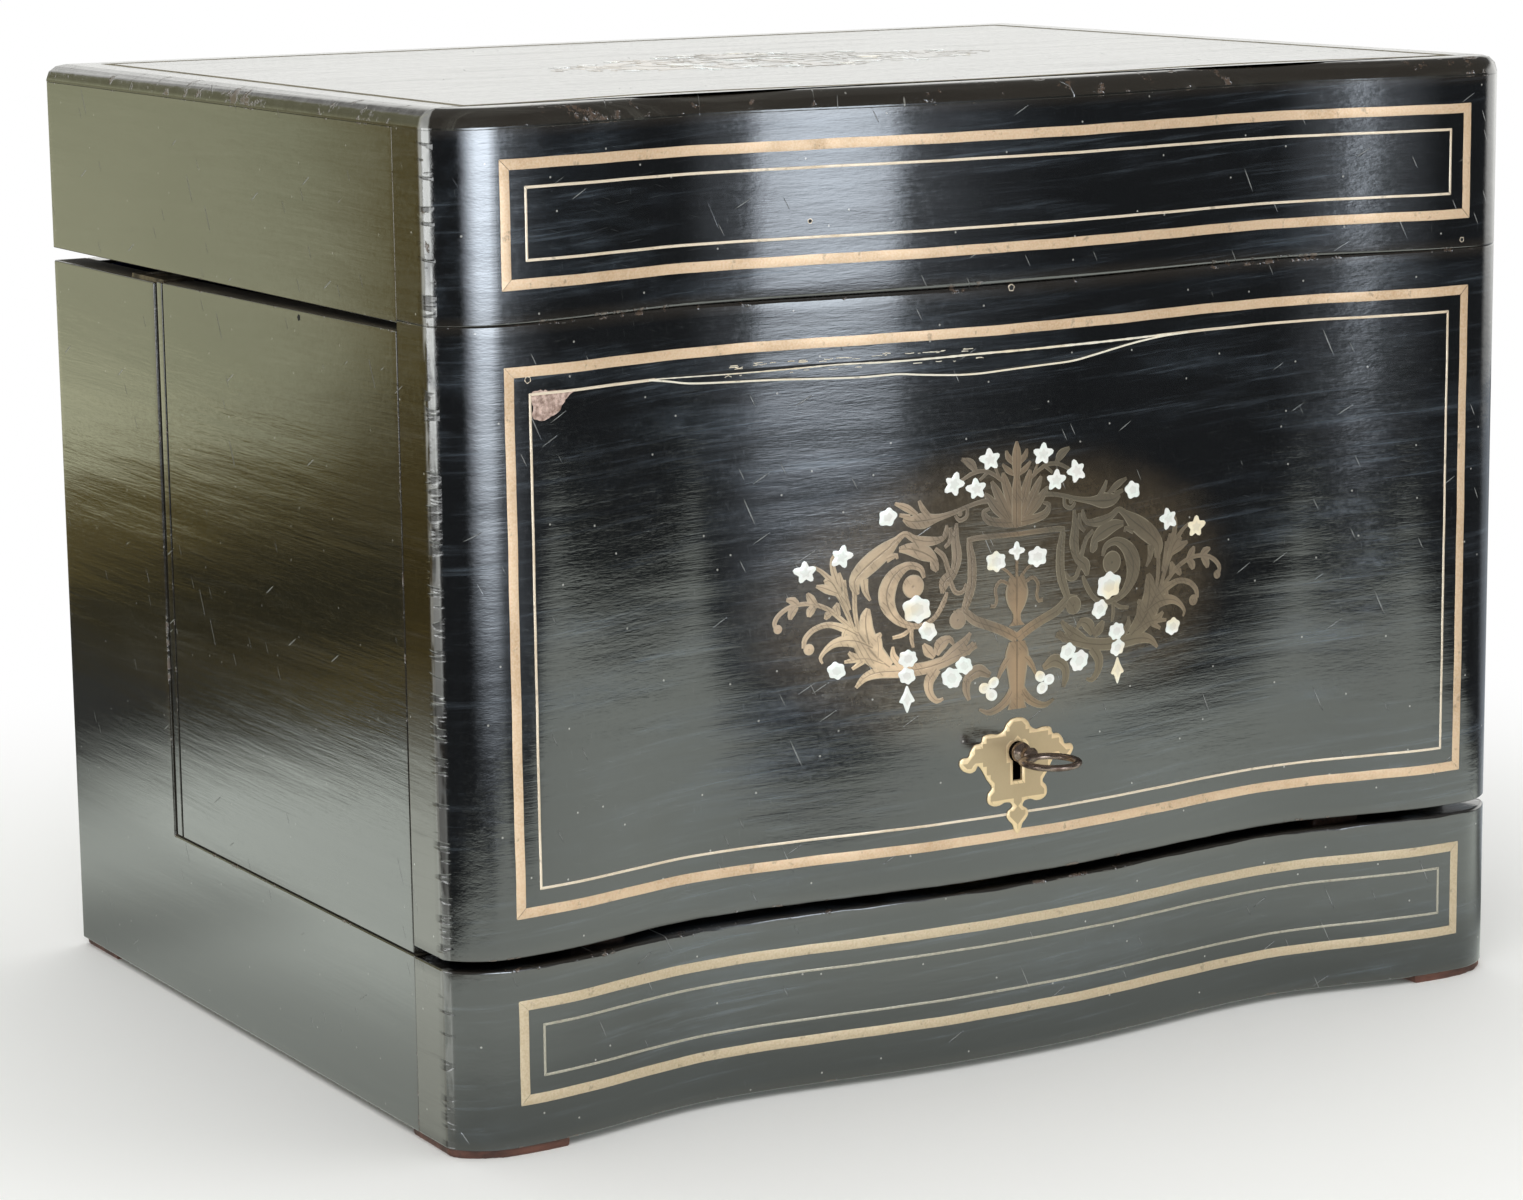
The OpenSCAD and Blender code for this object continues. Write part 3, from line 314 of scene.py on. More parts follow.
@finished
def brass(base, dull, low, metallic=0.25, rough=(0.42, 0.6)):
    """Rolled brass that has tarnished in patches, and takes the low colour near the table."""
    patches = step(noise(45.0, 4.0, 0.6), 0.42, 0.7)
    grain = noise(1800.0, 2.0, 0.6)
    spots = step(noise(300.0, 3.0, 0.7), 0.6, 0.7) * 0.45
    colour = layered(base, (patches, dull), (step(split(place())[2], 0.052, 0.044), low),
                     (spots, (0.10, 0.06, 0.03)), (step(grain, 0.3, 0.7, 0.0, 0.25), (0.85, 0.76, 0.6)))
    return {"Base Color": colour, "Metallic": metallic,
            "Roughness": step(patches, 0.0, 1.0, *rough), "Normal": bump(grain, 0.00003, 0.6)}


@finished
def engraved_brass(base, tint, rim_colour, low=None, polish=0.0):
    """Flat brass with engraved outlines and fine hatching; tint changes it along x, low,
    where given, is how much darker it is at its foot, and polish the lacquer over it."""
    here = split(place())
    ramp = add("ValToRGB", {0: step(here[0], -70 * MM, 70 * MM, kind="LINEAR")})
    stops = ramp.socket.node.color_ramp.elements
    while len(stops) < len(tint):
        stops.new(0.5)
    for stop, (at, colour) in zip(stops, tint):
        stop.position, stop.color = at, (*colour, 1)
    engraving = attribute("engraving")
    patches = step(noise(120.0, 4.0, 0.65), 0.38, 0.7)
    grain = noise(1500.0, 2.0, 0.6)
    hatching = add("TexWave", {"Vector": place(turn=(0, 0.6, 0)), "Scale": 260.0, "Distortion": 6.0,
                               "Detail": 2.0, "Detail Scale": 0.4})
    cuts = step(hatching, 0.86, 0.98) * step(patches, 0.3, 0.7)
    rim = step(engraving, 0.8, 0.95) * step(patches, 0.2, 0.8, 0.7, 0.2)
    dark = most(cuts * 0.35, step(engraving, 0.14, 0.03, 0.0, 0.45))
    colour = mix(patches * 0.45, ramp, base)
    if low:
        colour = mix(step(here[2], 108 * MM, 150 * MM, 0.0, low), colour, (0.07, 0.06, 0.045))
    colour = layered(colour, (rim, rim_colour), (dark, (0.03, 0.024, 0.017)))
    return {
        "Base Color": colour, "Metallic": 0.45, "Roughness": step(grain, 0.2, 0.8, 0.34, 0.52),
        "Coat Weight": polish, "Coat Roughness": 0.08,
        "Normal": bump(dark, -0.00008, 0.8, bump(grain, 0.00003, 0.5))}


@finished
def pearl():
    """Mother-of-pearl: white with faint pink and green play and a cut centre."""
    wave = noise(260.0, 3.0, 0.6)
    colour = layered((0.93, 0.93, 0.90), (step(wave, 0.35, 0.7), (0.86, 0.93, 0.88)),
                     (step(noise(55.0, 2.0), 0.56, 0.66, 0.0, 0.7), (0.95, 0.80, 0.50)),
                     (step(attribute("engraving"), 0.42, 0.34, 0.0, 0.25), (0.45, 0.42, 0.36)))
    return {"Base Color": colour, "Roughness": step(wave, 0.2, 0.8, 0.12, 0.3),
            "Specular IOR Level": 0.8, "Coat Weight": 0.5, "Sheen Weight": 0.2,
            "Normal": bump(wave, 0.00006, 0.5)}


@finished
def raw_wood(dark, pale, scale, grain):
    """Bare or torn wood: pores drawn out along the grain."""
    fibre = noise(scale, 4.0, 0.7, grain)
    colour = layered(dark, (step(fibre, 0.3, 0.7), pale),
                     (step(noise(scale / 6, 3.0, 0.6), 0.5, 0.75, 0.0, 0.6), dark))
    return {"Base Color": colour, "Roughness": 0.8, "Normal": bump(fibre, 0.00025, 0.8)}


@finished
def worn_metal(base, dark, rough, metallic=0.9):
    """Handled metal: dark in patches, brighter where it is rubbed."""
    patches = step(noise(160.0, 4.0, 0.65), 0.4, 0.65)
    return {"Base Color": mix(patches, base, dark), "Metallic": metallic,
            "Roughness": step(patches, 0.0, 1.0, *rough),
            "Normal": bump(noise(1400.0, 2.0, 0.6), 0.00002, 0.6)}


# One black polish in copies that differ by the way their faces look: lighter and olive on the sides and end
# grain, a little lighter on the top, a bluish haze on the front. This is partly the polish's own haze and
# partly painted reflection of the room each face sees.
FRONT_COLOURS = (0.004, 0.0045, 0.005), (0.042, 0.056, 0.072)
BLACK = lacquer("black_lacquer", "front", *FRONT_COLOURS)
BLACK_FRONT = lacquer("front_lacquer", "front", *FRONT_COLOURS, halo=True)
BLACK_TOP = lacquer("top_lacquer", "top", (0.010, 0.010, 0.008), (0.06, 0.06, 0.05))
BLACK_SIDE = lacquer("side_lacquer", "side", (0.016, 0.0155, 0.011), (0.05, 0.05, 0.038), haze=0.6,
                     marked=0.25)
# Near the table the end grain turns pale grey: painted reflection of the pale table.
END_GRAIN = lacquer("end_grain_lacquer", "side", (0.032, 0.024, 0.009), (0.02, 0.016, 0.008), haze=0.8,
                    shine=0.0, low=(0.17, 0.17, 0.145))
BAND = brass("band_brass", (0.66, 0.46, 0.29), (0.50, 0.33, 0.19), (0.50, 0.39, 0.25))
STRING = brass("string_brass", (0.76, 0.64, 0.50), (0.60, 0.47, 0.33), (0.33, 0.31, 0.25))
# Near-white, hardly metallic brass for the loose strand and the dashes beside it: partly clean metal,
# partly painted highlight where the strand catches the light.
LIT_STRING = brass("bright_string_brass", (0.95, 0.90, 0.78), (0.88, 0.76, 0.56), (0.5, 0.5, 0.4),
                      metallic=0.1, rough=(0.25, 0.4))
TOP_BAND = brass("top_band_brass", (0.10, 0.085, 0.04), (0.06, 0.055, 0.03), (0.1, 0.1, 0.05),
                 metallic=0.0, rough=(0.8, 0.95))
KEY_METAL = worn_metal("key_bronze", (0.30, 0.23, 0.19), (0.10, 0.065, 0.05), (0.22, 0.5))
# Near-black for the empty groove and the pin and worm holes, which are flat pieces laid on the face, not
# cut: painted shadow of those hollows.
HOLLOW_SHADOW = raw_wood("empty_groove_wood", (0.002, 0.002, 0.002), (0.01, 0.009, 0.008), 180.0, (0.2, 1, 1))
# Unpolished wood on the top and bottom faces of the doors, side boards and lid rails, made lighter than the
# wood alone: painted light on the door tops under the lid.
BARE_EDGE_LIT = raw_wood("unpolished_edge", (0.05, 0.043, 0.03), (0.13, 0.11, 0.075), 120.0, (1, 0.2, 1))
TORN = raw_wood("torn_veneer", (0.20, 0.12, 0.09), (0.70, 0.52, 0.45), 700.0, (1, 1, 1))
FOOT = raw_wood("foot_wood", (0.045, 0.018, 0.012), (0.14, 0.055, 0.035), 260.0, (0.2, 1, 1))

CARTOUCHE_TINT = [
    (0.0, (0.44, 0.32, 0.22)), (0.14, (0.62, 0.46, 0.29)), (0.26, (0.62, 0.44, 0.28)),
    (0.36, (0.34, 0.25, 0.17)), (0.44, (0.21, 0.16, 0.11)), (0.50, (0.36, 0.24, 0.14)),
    (0.58, (0.18, 0.145, 0.095)), (0.76, (0.18, 0.145, 0.095)), (0.88, (0.28, 0.21, 0.135)),
    (1.0, (0.30, 0.23, 0.16))]
CARTOUCHE_COLOURS = (0.12, 0.09, 0.06), CARTOUCHE_TINT, (0.32, 0.27, 0.19)
CARTOUCHE = engraved_brass("cartouche_brass_engraved", *CARTOUCHE_COLOURS, low=0.5)
TOP_BRASS = engraved_brass("top_brass_engraved", *CARTOUCHE_COLOURS, polish=1.0)
PLATE_BRASS = engraved_brass("escutcheon_brass", (0.66, 0.50, 0.28), [
    (0.35, (0.70, 0.54, 0.32)), (0.65, (0.78, 0.57, 0.33))], (0.72, 0.56, 0.34))
PEARL = pearl("mother_of_pearl_play")


# ---- Meshes ----

# The two axes across each axis, and the axis itself.
AXES = {"x": (1, 2, 0), "y": (2, 0, 1), "z": (0, 1, 2)}


def new_object(name, data):
    made = bpy.data.objects.new(name, data)
    bpy.context.scene.collection.objects.link(made)
    return made


def unit(vectors):
    return vectors / np.linalg.norm(vectors, axis=1)[:, None]


def mesh_piece(name, points, faces, body, slot, shader, node=None, values=None, sharp=40.0, weighted=False):
    """A named object on a body, smooth but for edges sharper than the given angle. node is
    the CAD node it stands for, and values are float attributes of its points."""
    mesh = bpy.data.meshes.new(name)
    mesh.from_pydata(np.asarray(points, float).tolist(), [], faces)
    mesh.validate()
    build = bmesh.new()
    build.from_mesh(mesh)
    bmesh.ops.recalc_face_normals(build, faces=build.faces)
    build.to_mesh(mesh)
    build.free()
    for key, numbers in (values or {}).items():
        layer = mesh.attributes.new(key, "FLOAT", "POINT")
        layer.data.foreach_set("value", np.asarray(numbers, np.float32))
    mesh.shade_smooth()
    mesh.set_sharp_from_angle(angle=math.radians(sharp))
    mesh.materials.append(shader)
    made = new_object(name, mesh)
    if weighted:
        modifier = made.modifiers.new("weighted_normals", "WEIGHTED_NORMAL")
        modifier.keep_sharp = True
        modifier.weight = 100
    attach(made, body)
    if node:
        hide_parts(node)
    return made


def paint_faces(made, shader, axis, cosine=0.97):
    """A second material on the faces that look along an axis, either way."""
    made.data.materials.append(shader)
    for face in made.data.polygons:
        if abs(face.normal.dot(Vector(axis))) > cosine:
            face.material_index = 1


def skin_faces(rings, count, first=0, closed_rings=False):
    """Quads between successive closed rings of count points, and a cap at each end."""
    faces = []
    pairs = [(k, k + 1) for k in range(rings - 1)] + ([(rings - 1, 0)] if closed_rings else [])
    for a, b in pairs:
        for i in range(count):
            j = (i + 1) % count
            faces.append((first + a * count + i, first + a * count + j,
                          first + b * count + j, first + b * count + i))
    if not closed_rings:
        faces.append(tuple(range(first + count - 1, first - 1, -1)))
        last = first + (rings - 1) * count
        faces.append(tuple(range(last, last + count)))
    return faces


def rounded_outline(corners, inset, radius, spread=2.5 * MM, steps=3):
    """Closed outline inside the counterclockwise corners, each cut by an arc. Points a
    little way from each corner let wear fade out. Gives points and wear."""
    corners = np.asarray(corners, float)
    count = len(corners)
    away = unit(np.roll(corners, -1, 0) - corners)
    inward = np.stack([-away[:, 1], away[:, 0]], 1)
    points, wear = [], []
    for i in range(count):
        before, after = away[i - 1], away[i]
        turn = before[0] * after[1] - before[1] * after[0]
        if abs(turn) < 0.2:
            points.append(corners[i] + inset * inward[i])
            wear.append(0.0)
            continue
        half = (inward[i - 1] + inward[i]) / (1 + inward[i - 1] @ inward[i])
        corner = corners[i] + inset * half
        reach = max(radius - inset, 0.1 * MM) if turn > 0 else radius
        room = min(np.linalg.norm(corners[i] - corners[i - 1]),
                   np.linalg.norm(corners[(i + 1) % count] - corners[i])) / 2.2
        reach = min(reach, room / 2)
        lead = min(reach + spread, room)
        points.append(corner - lead * before)
        wear.append(0.0)
        for k in range(steps + 1):
            t = k / steps
            a, b = corner - reach * before, corner + reach * after
            points.append((1 - t) ** 2 * a + 2 * t * (1 - t) * corner + t * t * b)
            wear.append(1.0 if turn > 0 else 0.0)
        points.append(corner + lead * after)
        wear.append(0.0)
    return np.array(points), np.array(wear)


def edge_rings(low, high, low_r, high_r, spread=2.5 * MM, steps=3, cap=True):
    """(height, inset, wear, wear at the corners) of the rings of a board with rounded
    lower and upper edges. The first and last lie inside the flat ends, past the wear."""
    rings = [(low, low_r + spread, 0.0, 0.0)] if cap else []
    lead = np.clip((high - low - low_r - high_r) / 3, 0.01 * MM, spread)
    for k in range(steps + 1):
        a = math.pi / 2 * k / steps
        rings.append((low + low_r * (1 - math.cos(a)), low_r * (1 - math.sin(a)), 1.0, 1.0))
    rings.append((low + low_r + lead, 0 * low_r, 0.0, 1.0))
    rings.append((high - high_r - lead, 0 * high_r, 0.0, 1.0))
    for k in range(steps, -1, -1):
        a = math.pi / 2 * k / steps
        rings.append((high - high_r * (1 - math.cos(a)), high_r * (1 - math.sin(a)), 1.0, 1.0))
    return rings + ([(high, high_r + spread, 0.0, 0.0)] if cap else [])


def board(name, corners, low, high, axis, body, slot, shader, node, radius, cap=True):
    """Board with the given outline across axis, from low to high along it."""
    points, wear, count = [], [], 0
    rings = edge_rings(low, high, radius, radius, cap=cap)
    for height, inset, worn, cornered in rings:
        outline, corner_wear = rounded_outline(corners, inset, radius)
        count = len(outline)
        ring = np.full((count, 3), float(height))
        ring[:, AXES[axis][:2]] = outline
        points.append(ring)
        wear.append(np.maximum(worn, corner_wear * cornered))
    return mesh_piece(name, np.concatenate(points), skin_faces(len(rings), count), body, slot,
                      shader, node, {"wear": np.concatenate(wear)}, weighted=True)


def rectangle(x0, x1, y0, y1, grow=0.0):
    """Counterclockwise outline of a rectangle, grown all round."""
    x0, x1, y0, y1 = x0 - grow, x1 + grow, y0 - grow, y1 + grow
    return [(x0, y0), (x1, y0), (x1, y1), (x0, y1)]


def plank(name, low, high, body, slot, shader, node, radius, axis="z"):
    a, b, along = AXES[axis]
    return board(name, rectangle(low[a], high[a], low[b], high[b]), low[along], high[along], axis,
                 body, slot, shader, node, radius)


# ---- Serpentine boards ----


def front_plan():
    """Plan of the face from left to right: points, outward normals and arris weight.
    The arris where the round corner meets the side is softened by a small curve."""
    turn = math.asin((HALF_W - SHOULDER_X) / CORNER_R)
    reach = ARRIS_R * math.tan((math.pi / 2 - turn) / 2)
    last = turn - reach / CORNER_R
    arc = SHOULDER_X + CORNER_R * np.sin(np.linspace(0, last, 17))[1:]
    x = np.concatenate([np.linspace(0, SHOULDER_X, 101), arc])
    points = np.stack([x, FRONT + setback(x)], 1)
    tip = np.array([HALF_W, FRONT + float(setback(HALF_W))])
    end = tip + [0, reach]
    t = np.linspace(0, 1, 7)[1:, None]
    curve = (1 - t) ** 2 * points[-1] + 2 * t * (1 - t) * tip + t * t * end
    points = np.concatenate([points, curve])
    ahead = np.gradient(points, axis=0)
    ahead[-1], ahead[0] = (0, 1), (1, 0)
    normal = unit(np.stack([ahead[:, 1], -ahead[:, 0]], 1))
    weight = np.concatenate([np.zeros(len(x) - 1), [0.5, 1, 1, 1, 1, 1, 0.5]])
    flip = [-1, 1]
    return (np.concatenate([points[:0:-1] * flip, points]),
            np.concatenate([normal[:0:-1] * flip, normal]),
            np.concatenate([weight[:0:-1], weight]))


ARRIS_R = 6 * MM
PLAN, PLAN_NORMAL, PLAN_ARRIS = front_plan()
PLAN_X = PLAN[:, 0]


def ragged(x, size, seed):
    """Small uneven chipping along an edge, between 0 and size."""
    rng = np.random.default_rng(seed)
    total = np.zeros_like(x)
    for pitch, share in ((0.05, 0.35), (0.013, 0.35), (0.0045, 0.3)):
        knots = np.arange(-0.2, 0.2 + pitch, pitch)
        total += share * np.interp(x, knots, rng.random(len(knots)))
    return size * np.clip(total, 0, 1) ** 1.5


def serpentine_ring(z, inset, worn, cornered, back):
    """One ring of a serpentine board: the front from left to right, then round the back."""
    z, inset, worn = (np.broadcast_to(np.asarray(v, float), PLAN_X.shape) for v in (z, inset, worn))
    front = np.concatenate([PLAN - inset[:, None] * PLAN_NORMAL, z[:, None]], 1)
    bend = front[-1, 1]
    side_y = np.array([bend + 2.5 * MM, back - inset[-1]])
    side = np.stack([np.full(2, HALF_W - inset[-1]), side_y, np.full(2, z[-1])], 1)
    left = side[::-1] * [-1, 1, 1]
    left[:, 2] = z[0]
    wear_front = np.maximum(worn, 0.9 * cornered * PLAN_ARRIS)
    return (np.concatenate([front, side, left]),
            np.concatenate([wear_front, [worn[-1], worn[-1], worn[0], worn[0]]]),
            np.concatenate([cornered * PLAN_ARRIS, np.zeros(4)]))


def serpentine_board(name, node, low_r, high_r, body, back=SEAM, shader=BLACK):
    """The visible board of a CAD node, with its own roundings along the front edges."""
    low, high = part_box(node)
    rings = [serpentine_ring(*ring, back) for ring in edge_rings(low.z, high.z, low_r, high_r)]
    points, wear, arris = (np.concatenate([r[k] for r in rings]) for k in range(3))
    made = mesh_piece(name, points, skin_faces(len(rings), len(rings[0][0])), body, "ebonised_wood",
                      shader, node, {"wear": wear, "arris": arris}, weighted=True)
    paint_faces(made, END_GRAIN, (1, 0, 0))


gape = np.clip(1 - np.abs(PLAN_X / HALF_W) ** 2, 0, 1)
serpentine_board("plinth_front_board", "plinth_front", 0.5 * MM,
                 0.3 * MM + ragged(PLAN_X, 1.5 * MM, 3), "case")
serpentine_board("front_panel_board", "front_panel", 0.3 * MM + ragged(PLAN_X, 1.3 * MM, 4) * gape,
                 0.25 * MM + 0.9 * MM * gape + ragged(PLAN_X, 0.3 * MM, 6), "lid",
                 shader=BLACK_FRONT)
serpentine_board("lid_front_board", "lid_front_rail",
                 0.25 * MM + 0.9 * MM * gape, 0.05 * MM + 0 * PLAN_X, "lid")
serpentine_board("lid_top_board", "lid_top", 0.05 * MM + 0 * PLAN_X, 4.4 * MM, "lid", BACK, BLACK_TOP)

# ---- Straight boards of the case, the lid and the doors ----

PIVOT_IN = 2.5 * MM
PIVOT_STEP = MM
STILE = door_high.y
STILE_GAP = 0.3 * MM
LID_RAIL_DROP = 0.6 * MM


def door_outline():
    """Plan of the right door, with a rounded edge that turns clear of the stile."""
    step_y, outer = STILE - 2 * PIVOT_IN, HALF_W - PIVOT_STEP
    turning = [(HALF_W - PIVOT_IN * (1 - math.cos(a)), STILE - PIVOT_IN * (1 - math.sin(a)))
               for a in np.linspace(0.1, math.pi / 2, 9)]
    return [(INNER_X, door_low.y), (HALF_W, door_low.y), (HALF_W, step_y - PIVOT_STEP),
            (outer, step_y - PIVOT_STEP), (outer, step_y), (HALF_W, step_y), *turning, (INNER_X, STILE)]


def raise_top(made, top):
    """Lets the top edge of a door climb a little toward the front, where it nears the lid."""
    for vertex in made.data.vertices:
        if vertex.co.z > top - 2 * MM:
            share = (STILE - vertex.co.y) / (STILE - SEAM)
            vertex.co.z += (0.6 + 1.3 * share) * MM


def make_side(side, word):
    """Door, side board and lid rail of the left or right side."""
    plan = [(side * x, y) for x, y in door_outline()][::side]
    wood = "ebonised_wood", BLACK_SIDE
    door = board(f"door_{word}_board", plan, door_low.z, door_high.z, "z", f"{word}_door", *wood,
                 f"door_{word}", 0.3 * MM, cap=False)
    raise_top(door, door_high.z)
    inner, outer = sorted((side * INNER_X, side * HALF_W))
    near = STILE + STILE_GAP
    outline = [(SEAM, side_low.z), (BACK, side_low.z), (BACK, side_high.z), (near, side_high.z),
               (near, PLINTH_TOP), (SEAM, PLINTH_TOP)]
    stile = board(f"side_{word}_board", outline, inner, outer, "x", "case", *wood,
                  f"side_board_{word}", 0.5 * MM)
    low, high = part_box("lid_rail_right")
    rail = plank(f"lid_{word}_board", (inner, SEAM, low.z - LID_RAIL_DROP), (outer, BACK, high.z), "lid",
                 *wood, f"lid_rail_{word}", 0.25 * MM, "x")
    for made in (door, stile, rail):
        paint_faces(made, BARE_EDGE_LIT, (0, 0, 1))


make_side(-1, "left")
make_side(1, "right")
for name, node, body in (("back_panel", "back_board", "case"), ("lid_back_panel", "lid_back_rail", "lid")):
    plank(name, *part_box(node), body, "ebonised_wood", BLACK, node, 0.4 * MM, "y")


# ---- Stringing on the front ----


def smooth_curve(points, gap, closed=False):
    """Catmull-Rom curve through the points, sampled about every gap."""
    points = np.asarray(points, float)
    if closed:
        before, after = np.roll(points, 1, 0), np.roll(points, -1, 0)
        segments = [(before[i], points[i], after[i], after[(i + 1) % len(points)])
                    for i in range(len(points))]
    else:
        ends = np.concatenate([[2 * points[0] - points[1]], points, [2 * points[-1] - points[-2]]])
        segments = [tuple(ends[i:i + 4]) for i in range(len(points) - 1)]
    out = []
    for a, b, c, d in segments:
        steps = max(int(np.linalg.norm((c - b)[:2]) / gap), 1)
        for k in range(steps):
            t = k / steps
            out.append(0.5 * (2 * b + (c - a) * t + (2 * a - 5 * b + 4 * c - d) * t * t
                              + (3 * b - a - 3 * c + d) * t**3))
    return np.array(out if closed else out + [points[-1]])


def wobble(t, size, seed):
    """Slow hand-made unevenness along a strip."""
    phase = np.random.default_rng(seed).random(3) * 6.28
    return size * sum(np.sin(t * k + p) for k, p in zip((60, 145, 310), phase)) / 3


def strip(curve, start, end, width, lay, seed, mitred=(1, 1), lift=0.05 * MM, gap=1.8 * MM):
    """Inlaid strip: curve(along, across) gives two coordinates on the surface, lay puts
    them there, a little proud. Mitred ends meet the next strip at a hairline."""
    across = np.array([0, 0, 0.08, 0.92, 1, 1]) * width
    proud = np.array([-0.5 * MM, 0.2 * lift, lift, lift, 0.2 * lift, -0.5 * MM])
    rows, count = len(across), max(int((end - start) / gap), 3)
    hair = 0.06 * MM
    points = []
    for v, out in zip(across, proud):
        along = np.linspace(start + (v + hair) * mitred[0], end - (v + hair) * mitred[1], count)
        shake = wobble(along, 0.1 * MM if width > MM else 0.06 * MM, seed)
        points.append(lay(*curve(along, v + shake), out))
    faces = [(k * count + i, k * count + i + 1, (k + 1) % rows * count + i + 1, (k + 1) % rows * count + i)
             for k in range(rows) for i in range(count - 1)]
    faces += [tuple(k * count + i for k in range(rows)) for i in (0, count - 1)]
    return np.concatenate(points), faces


def joined(parts):
    """Several (points, faces) as one."""
    points, faces, first = [], [], 0
    for some, quads in parts:
        points.append(some)
        faces += [tuple(first + i for i in f) for f in quads]
        first += len(some)
    return np.concatenate(points), faces


def front_frame(half_x, low, high, width, seed, top_spans=None):
    """Four strips round the front; the top one may be broken into spans."""
    parts = [strip(lambda t, v: (t, low + v), -half_x, half_x, width, on_front, seed)]
    for side in (-1, 1):
        parts.append(strip(lambda t, v, side=side: (side * (half_x - v), t), low, high, width,
                           on_front, seed + side + 2))
    for a, b in top_spans or [(-half_x, half_x)]:
        mitred = (a <= -half_x, b >= half_x)
        parts.append(strip(lambda t, v: (t, high - v), a, b, width, on_front, seed + 4, mitred))
    return joined(parts)


BAND_W = 2.6 * MM
STRING_W = 0.7 * MM
LOST_STRING = (-104 * MM, 47 * MM)

for prefix, body, seed in (("plinth", "case", 10), ("panel", "lid", 20), ("lid", "lid", 30)):
    for word, shader, width in (("band", BAND, BAND_W), ("string", STRING, STRING_W)):
        low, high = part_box(f"{prefix}_inlay_{word}")
        spans = None
        if (prefix, word) == ("panel", "string"):
            spans = [(-high.x, LOST_STRING[0]), (LOST_STRING[1], high.x)]
        points, faces = front_frame(high.x, low.z, high.z, width, seed, spans)
        mesh_piece(f"{prefix}_{word}", points, faces, body, "brass_stringing", shader,
                   f"{prefix}_inlay_{word}", sharp=60)


def on_lid(x, y, proud):
    x, y = np.broadcast_arrays(np.asarray(x, float), np.asarray(y, float))
    return np.stack([x, y, np.full(x.shape, top_high.z + proud)], -1)


def top_frame(inset, width, seed):
    """Band let into the top: serpentine in front, straight at the sides and back."""
    half, back = HALF_W - inset, BACK - inset

    def front_y(x):
        return FRONT + setback(np.clip(x, -SHOULDER_X, SHOULDER_X)) + inset

    ends = front_y(half)
    parts = [strip(lambda t, v: (t, front_y(t) + v), -half, half, width, on_lid, seed),
             strip(lambda t, v: (t, back - v), -half, half, width, on_lid, seed + 1)]
    for side in (-1, 1):
        parts.append(strip(lambda t, v, side=side: (side * (half - v), t), float(ends), back, width,
                           on_lid, seed + side + 3))
    return joined(parts)


mesh_piece("top_band", *top_frame(12 * MM, BAND_W, 40), "lid", "brass_stringing", TOP_BAND,
           "top_inlay_band", sharp=60)


def tube(points, radius, sides=6):
    """Round wire along points; the radius may change along it."""
    points = np.asarray(points, float)
    radius = np.broadcast_to(radius, len(points))
    ahead = unit(np.gradient(points, axis=0))
    side = np.cross(ahead, [0.0, 0.0, 1.0])
    upright = np.linalg.norm(side, axis=1) < 1e-3
    side[upright] = np.cross(ahead[upright], [0.0, 1.0, 0.0])
    side = unit(side)
    up = np.cross(side, ahead)
    angles = np.linspace(0, 2 * math.pi, sides, endpoint=False)
    ring = np.cos(angles)[:, None, None] * side + np.sin(angles)[:, None, None] * up
    out = (points + radius[:, None] * ring).transpose(1, 0, 2).reshape(-1, 3)
    return out, skin_faces(len(points), sides)


# Loose strand, (place along the front, height, how far it stands off), in millimetres.
LOOSE = [(-106, 190, 0.1), (-100, 189.1, 0.3), (-94, 188.1, 0.5), (-85, 187.6, 0.8), (-70, 187.2, 1),
         (-58, 186.7, 1.1), (-46, 186.3, 1), (-36, 186.4, 0.9), (-29, 185.8, 0.9), (-20, 185.1, 1),
         (-12, 184.9, 1), (-2, 185.3, 1.1), (8, 185.6, 1), (17, 185.9, 0.9), (24, 186.8, 0.7),
         (32, 188, 0.6), (40, 189, 0.4), (49, 189.7, 0.2), (58, 189.9, 0.1)]
SPLIT = [(-104, 190, 0.1), (-92, 189.6, 0.15), (-80, 189.4, 0.2), (-66, 189.5, 0.2), (-52, 189.8, 0.25),
         (-38, 189.6, 0.2), (-24, 189.7, 0.3), (-12, 189.9, 0.35), (2, 189.9, 0.4), (16, 190, 0.4),
         (28, 190, 0.3), (40, 190, 0.2), (52, 190, 0.1)]


def laid_line(stations):
    """Points of (along, height, stand-off) in millimetres, laid on the front."""
    return on_front(*np.array(stations).T * MM)


def make_sprung_string():
    """The string that has come out of its groove, and short bright dashes beside it."""
    rng = np.random.default_rng(11)
    parts = [tube(laid_line(smooth_curve(LOOSE, 1.2)), 0.26 * MM)]
    upper = laid_line(smooth_curve(SPLIT, 1.2))
    swell = 0.16 + 0.14 * np.clip(np.linspace(-0.4, 2.2, len(upper)), 0, 1)
    parts.append(tube(upper, swell * MM * rng.uniform(0.8, 1.2, len(upper))))
    for _ in range(46):
        x = rng.uniform(-84, -10)
        z = rng.choice([191.4, 190.9, 188.8]) + rng.normal(0, 0.15)
        long = rng.uniform(0.5, 3.2)
        line = [(x, z, 0.02), (x + long / 2, z + rng.normal(0, 0.12), 0.05), (x + long, z, 0.02)]
        parts.append(tube(laid_line(line), rng.uniform(0.05, 0.12) * MM, 5))
    mesh_piece("sprung_string", *joined(parts), "lid", "brass_stringing", LIT_STRING)
    # The empty groove is not cut: a near-black strip laid on the face, painted shadow of the groove.
    groove = strip(lambda t, v: (t, 190.35 * MM - v), *LOST_STRING, STRING_W * 1.3, on_front, 24, (0, 0),
                   lift=0.012 * MM)
    mesh_piece("empty_groove", *groove, "lid", "ebonised_wood", HOLLOW_SHADOW, sharp=60)


make_sprung_string()


# ---- Marquetry and escutcheon ----
# Drawn on the flat in millimetres: (distance from the centre line, height above the
# table). Ribbons also have the width at each point.

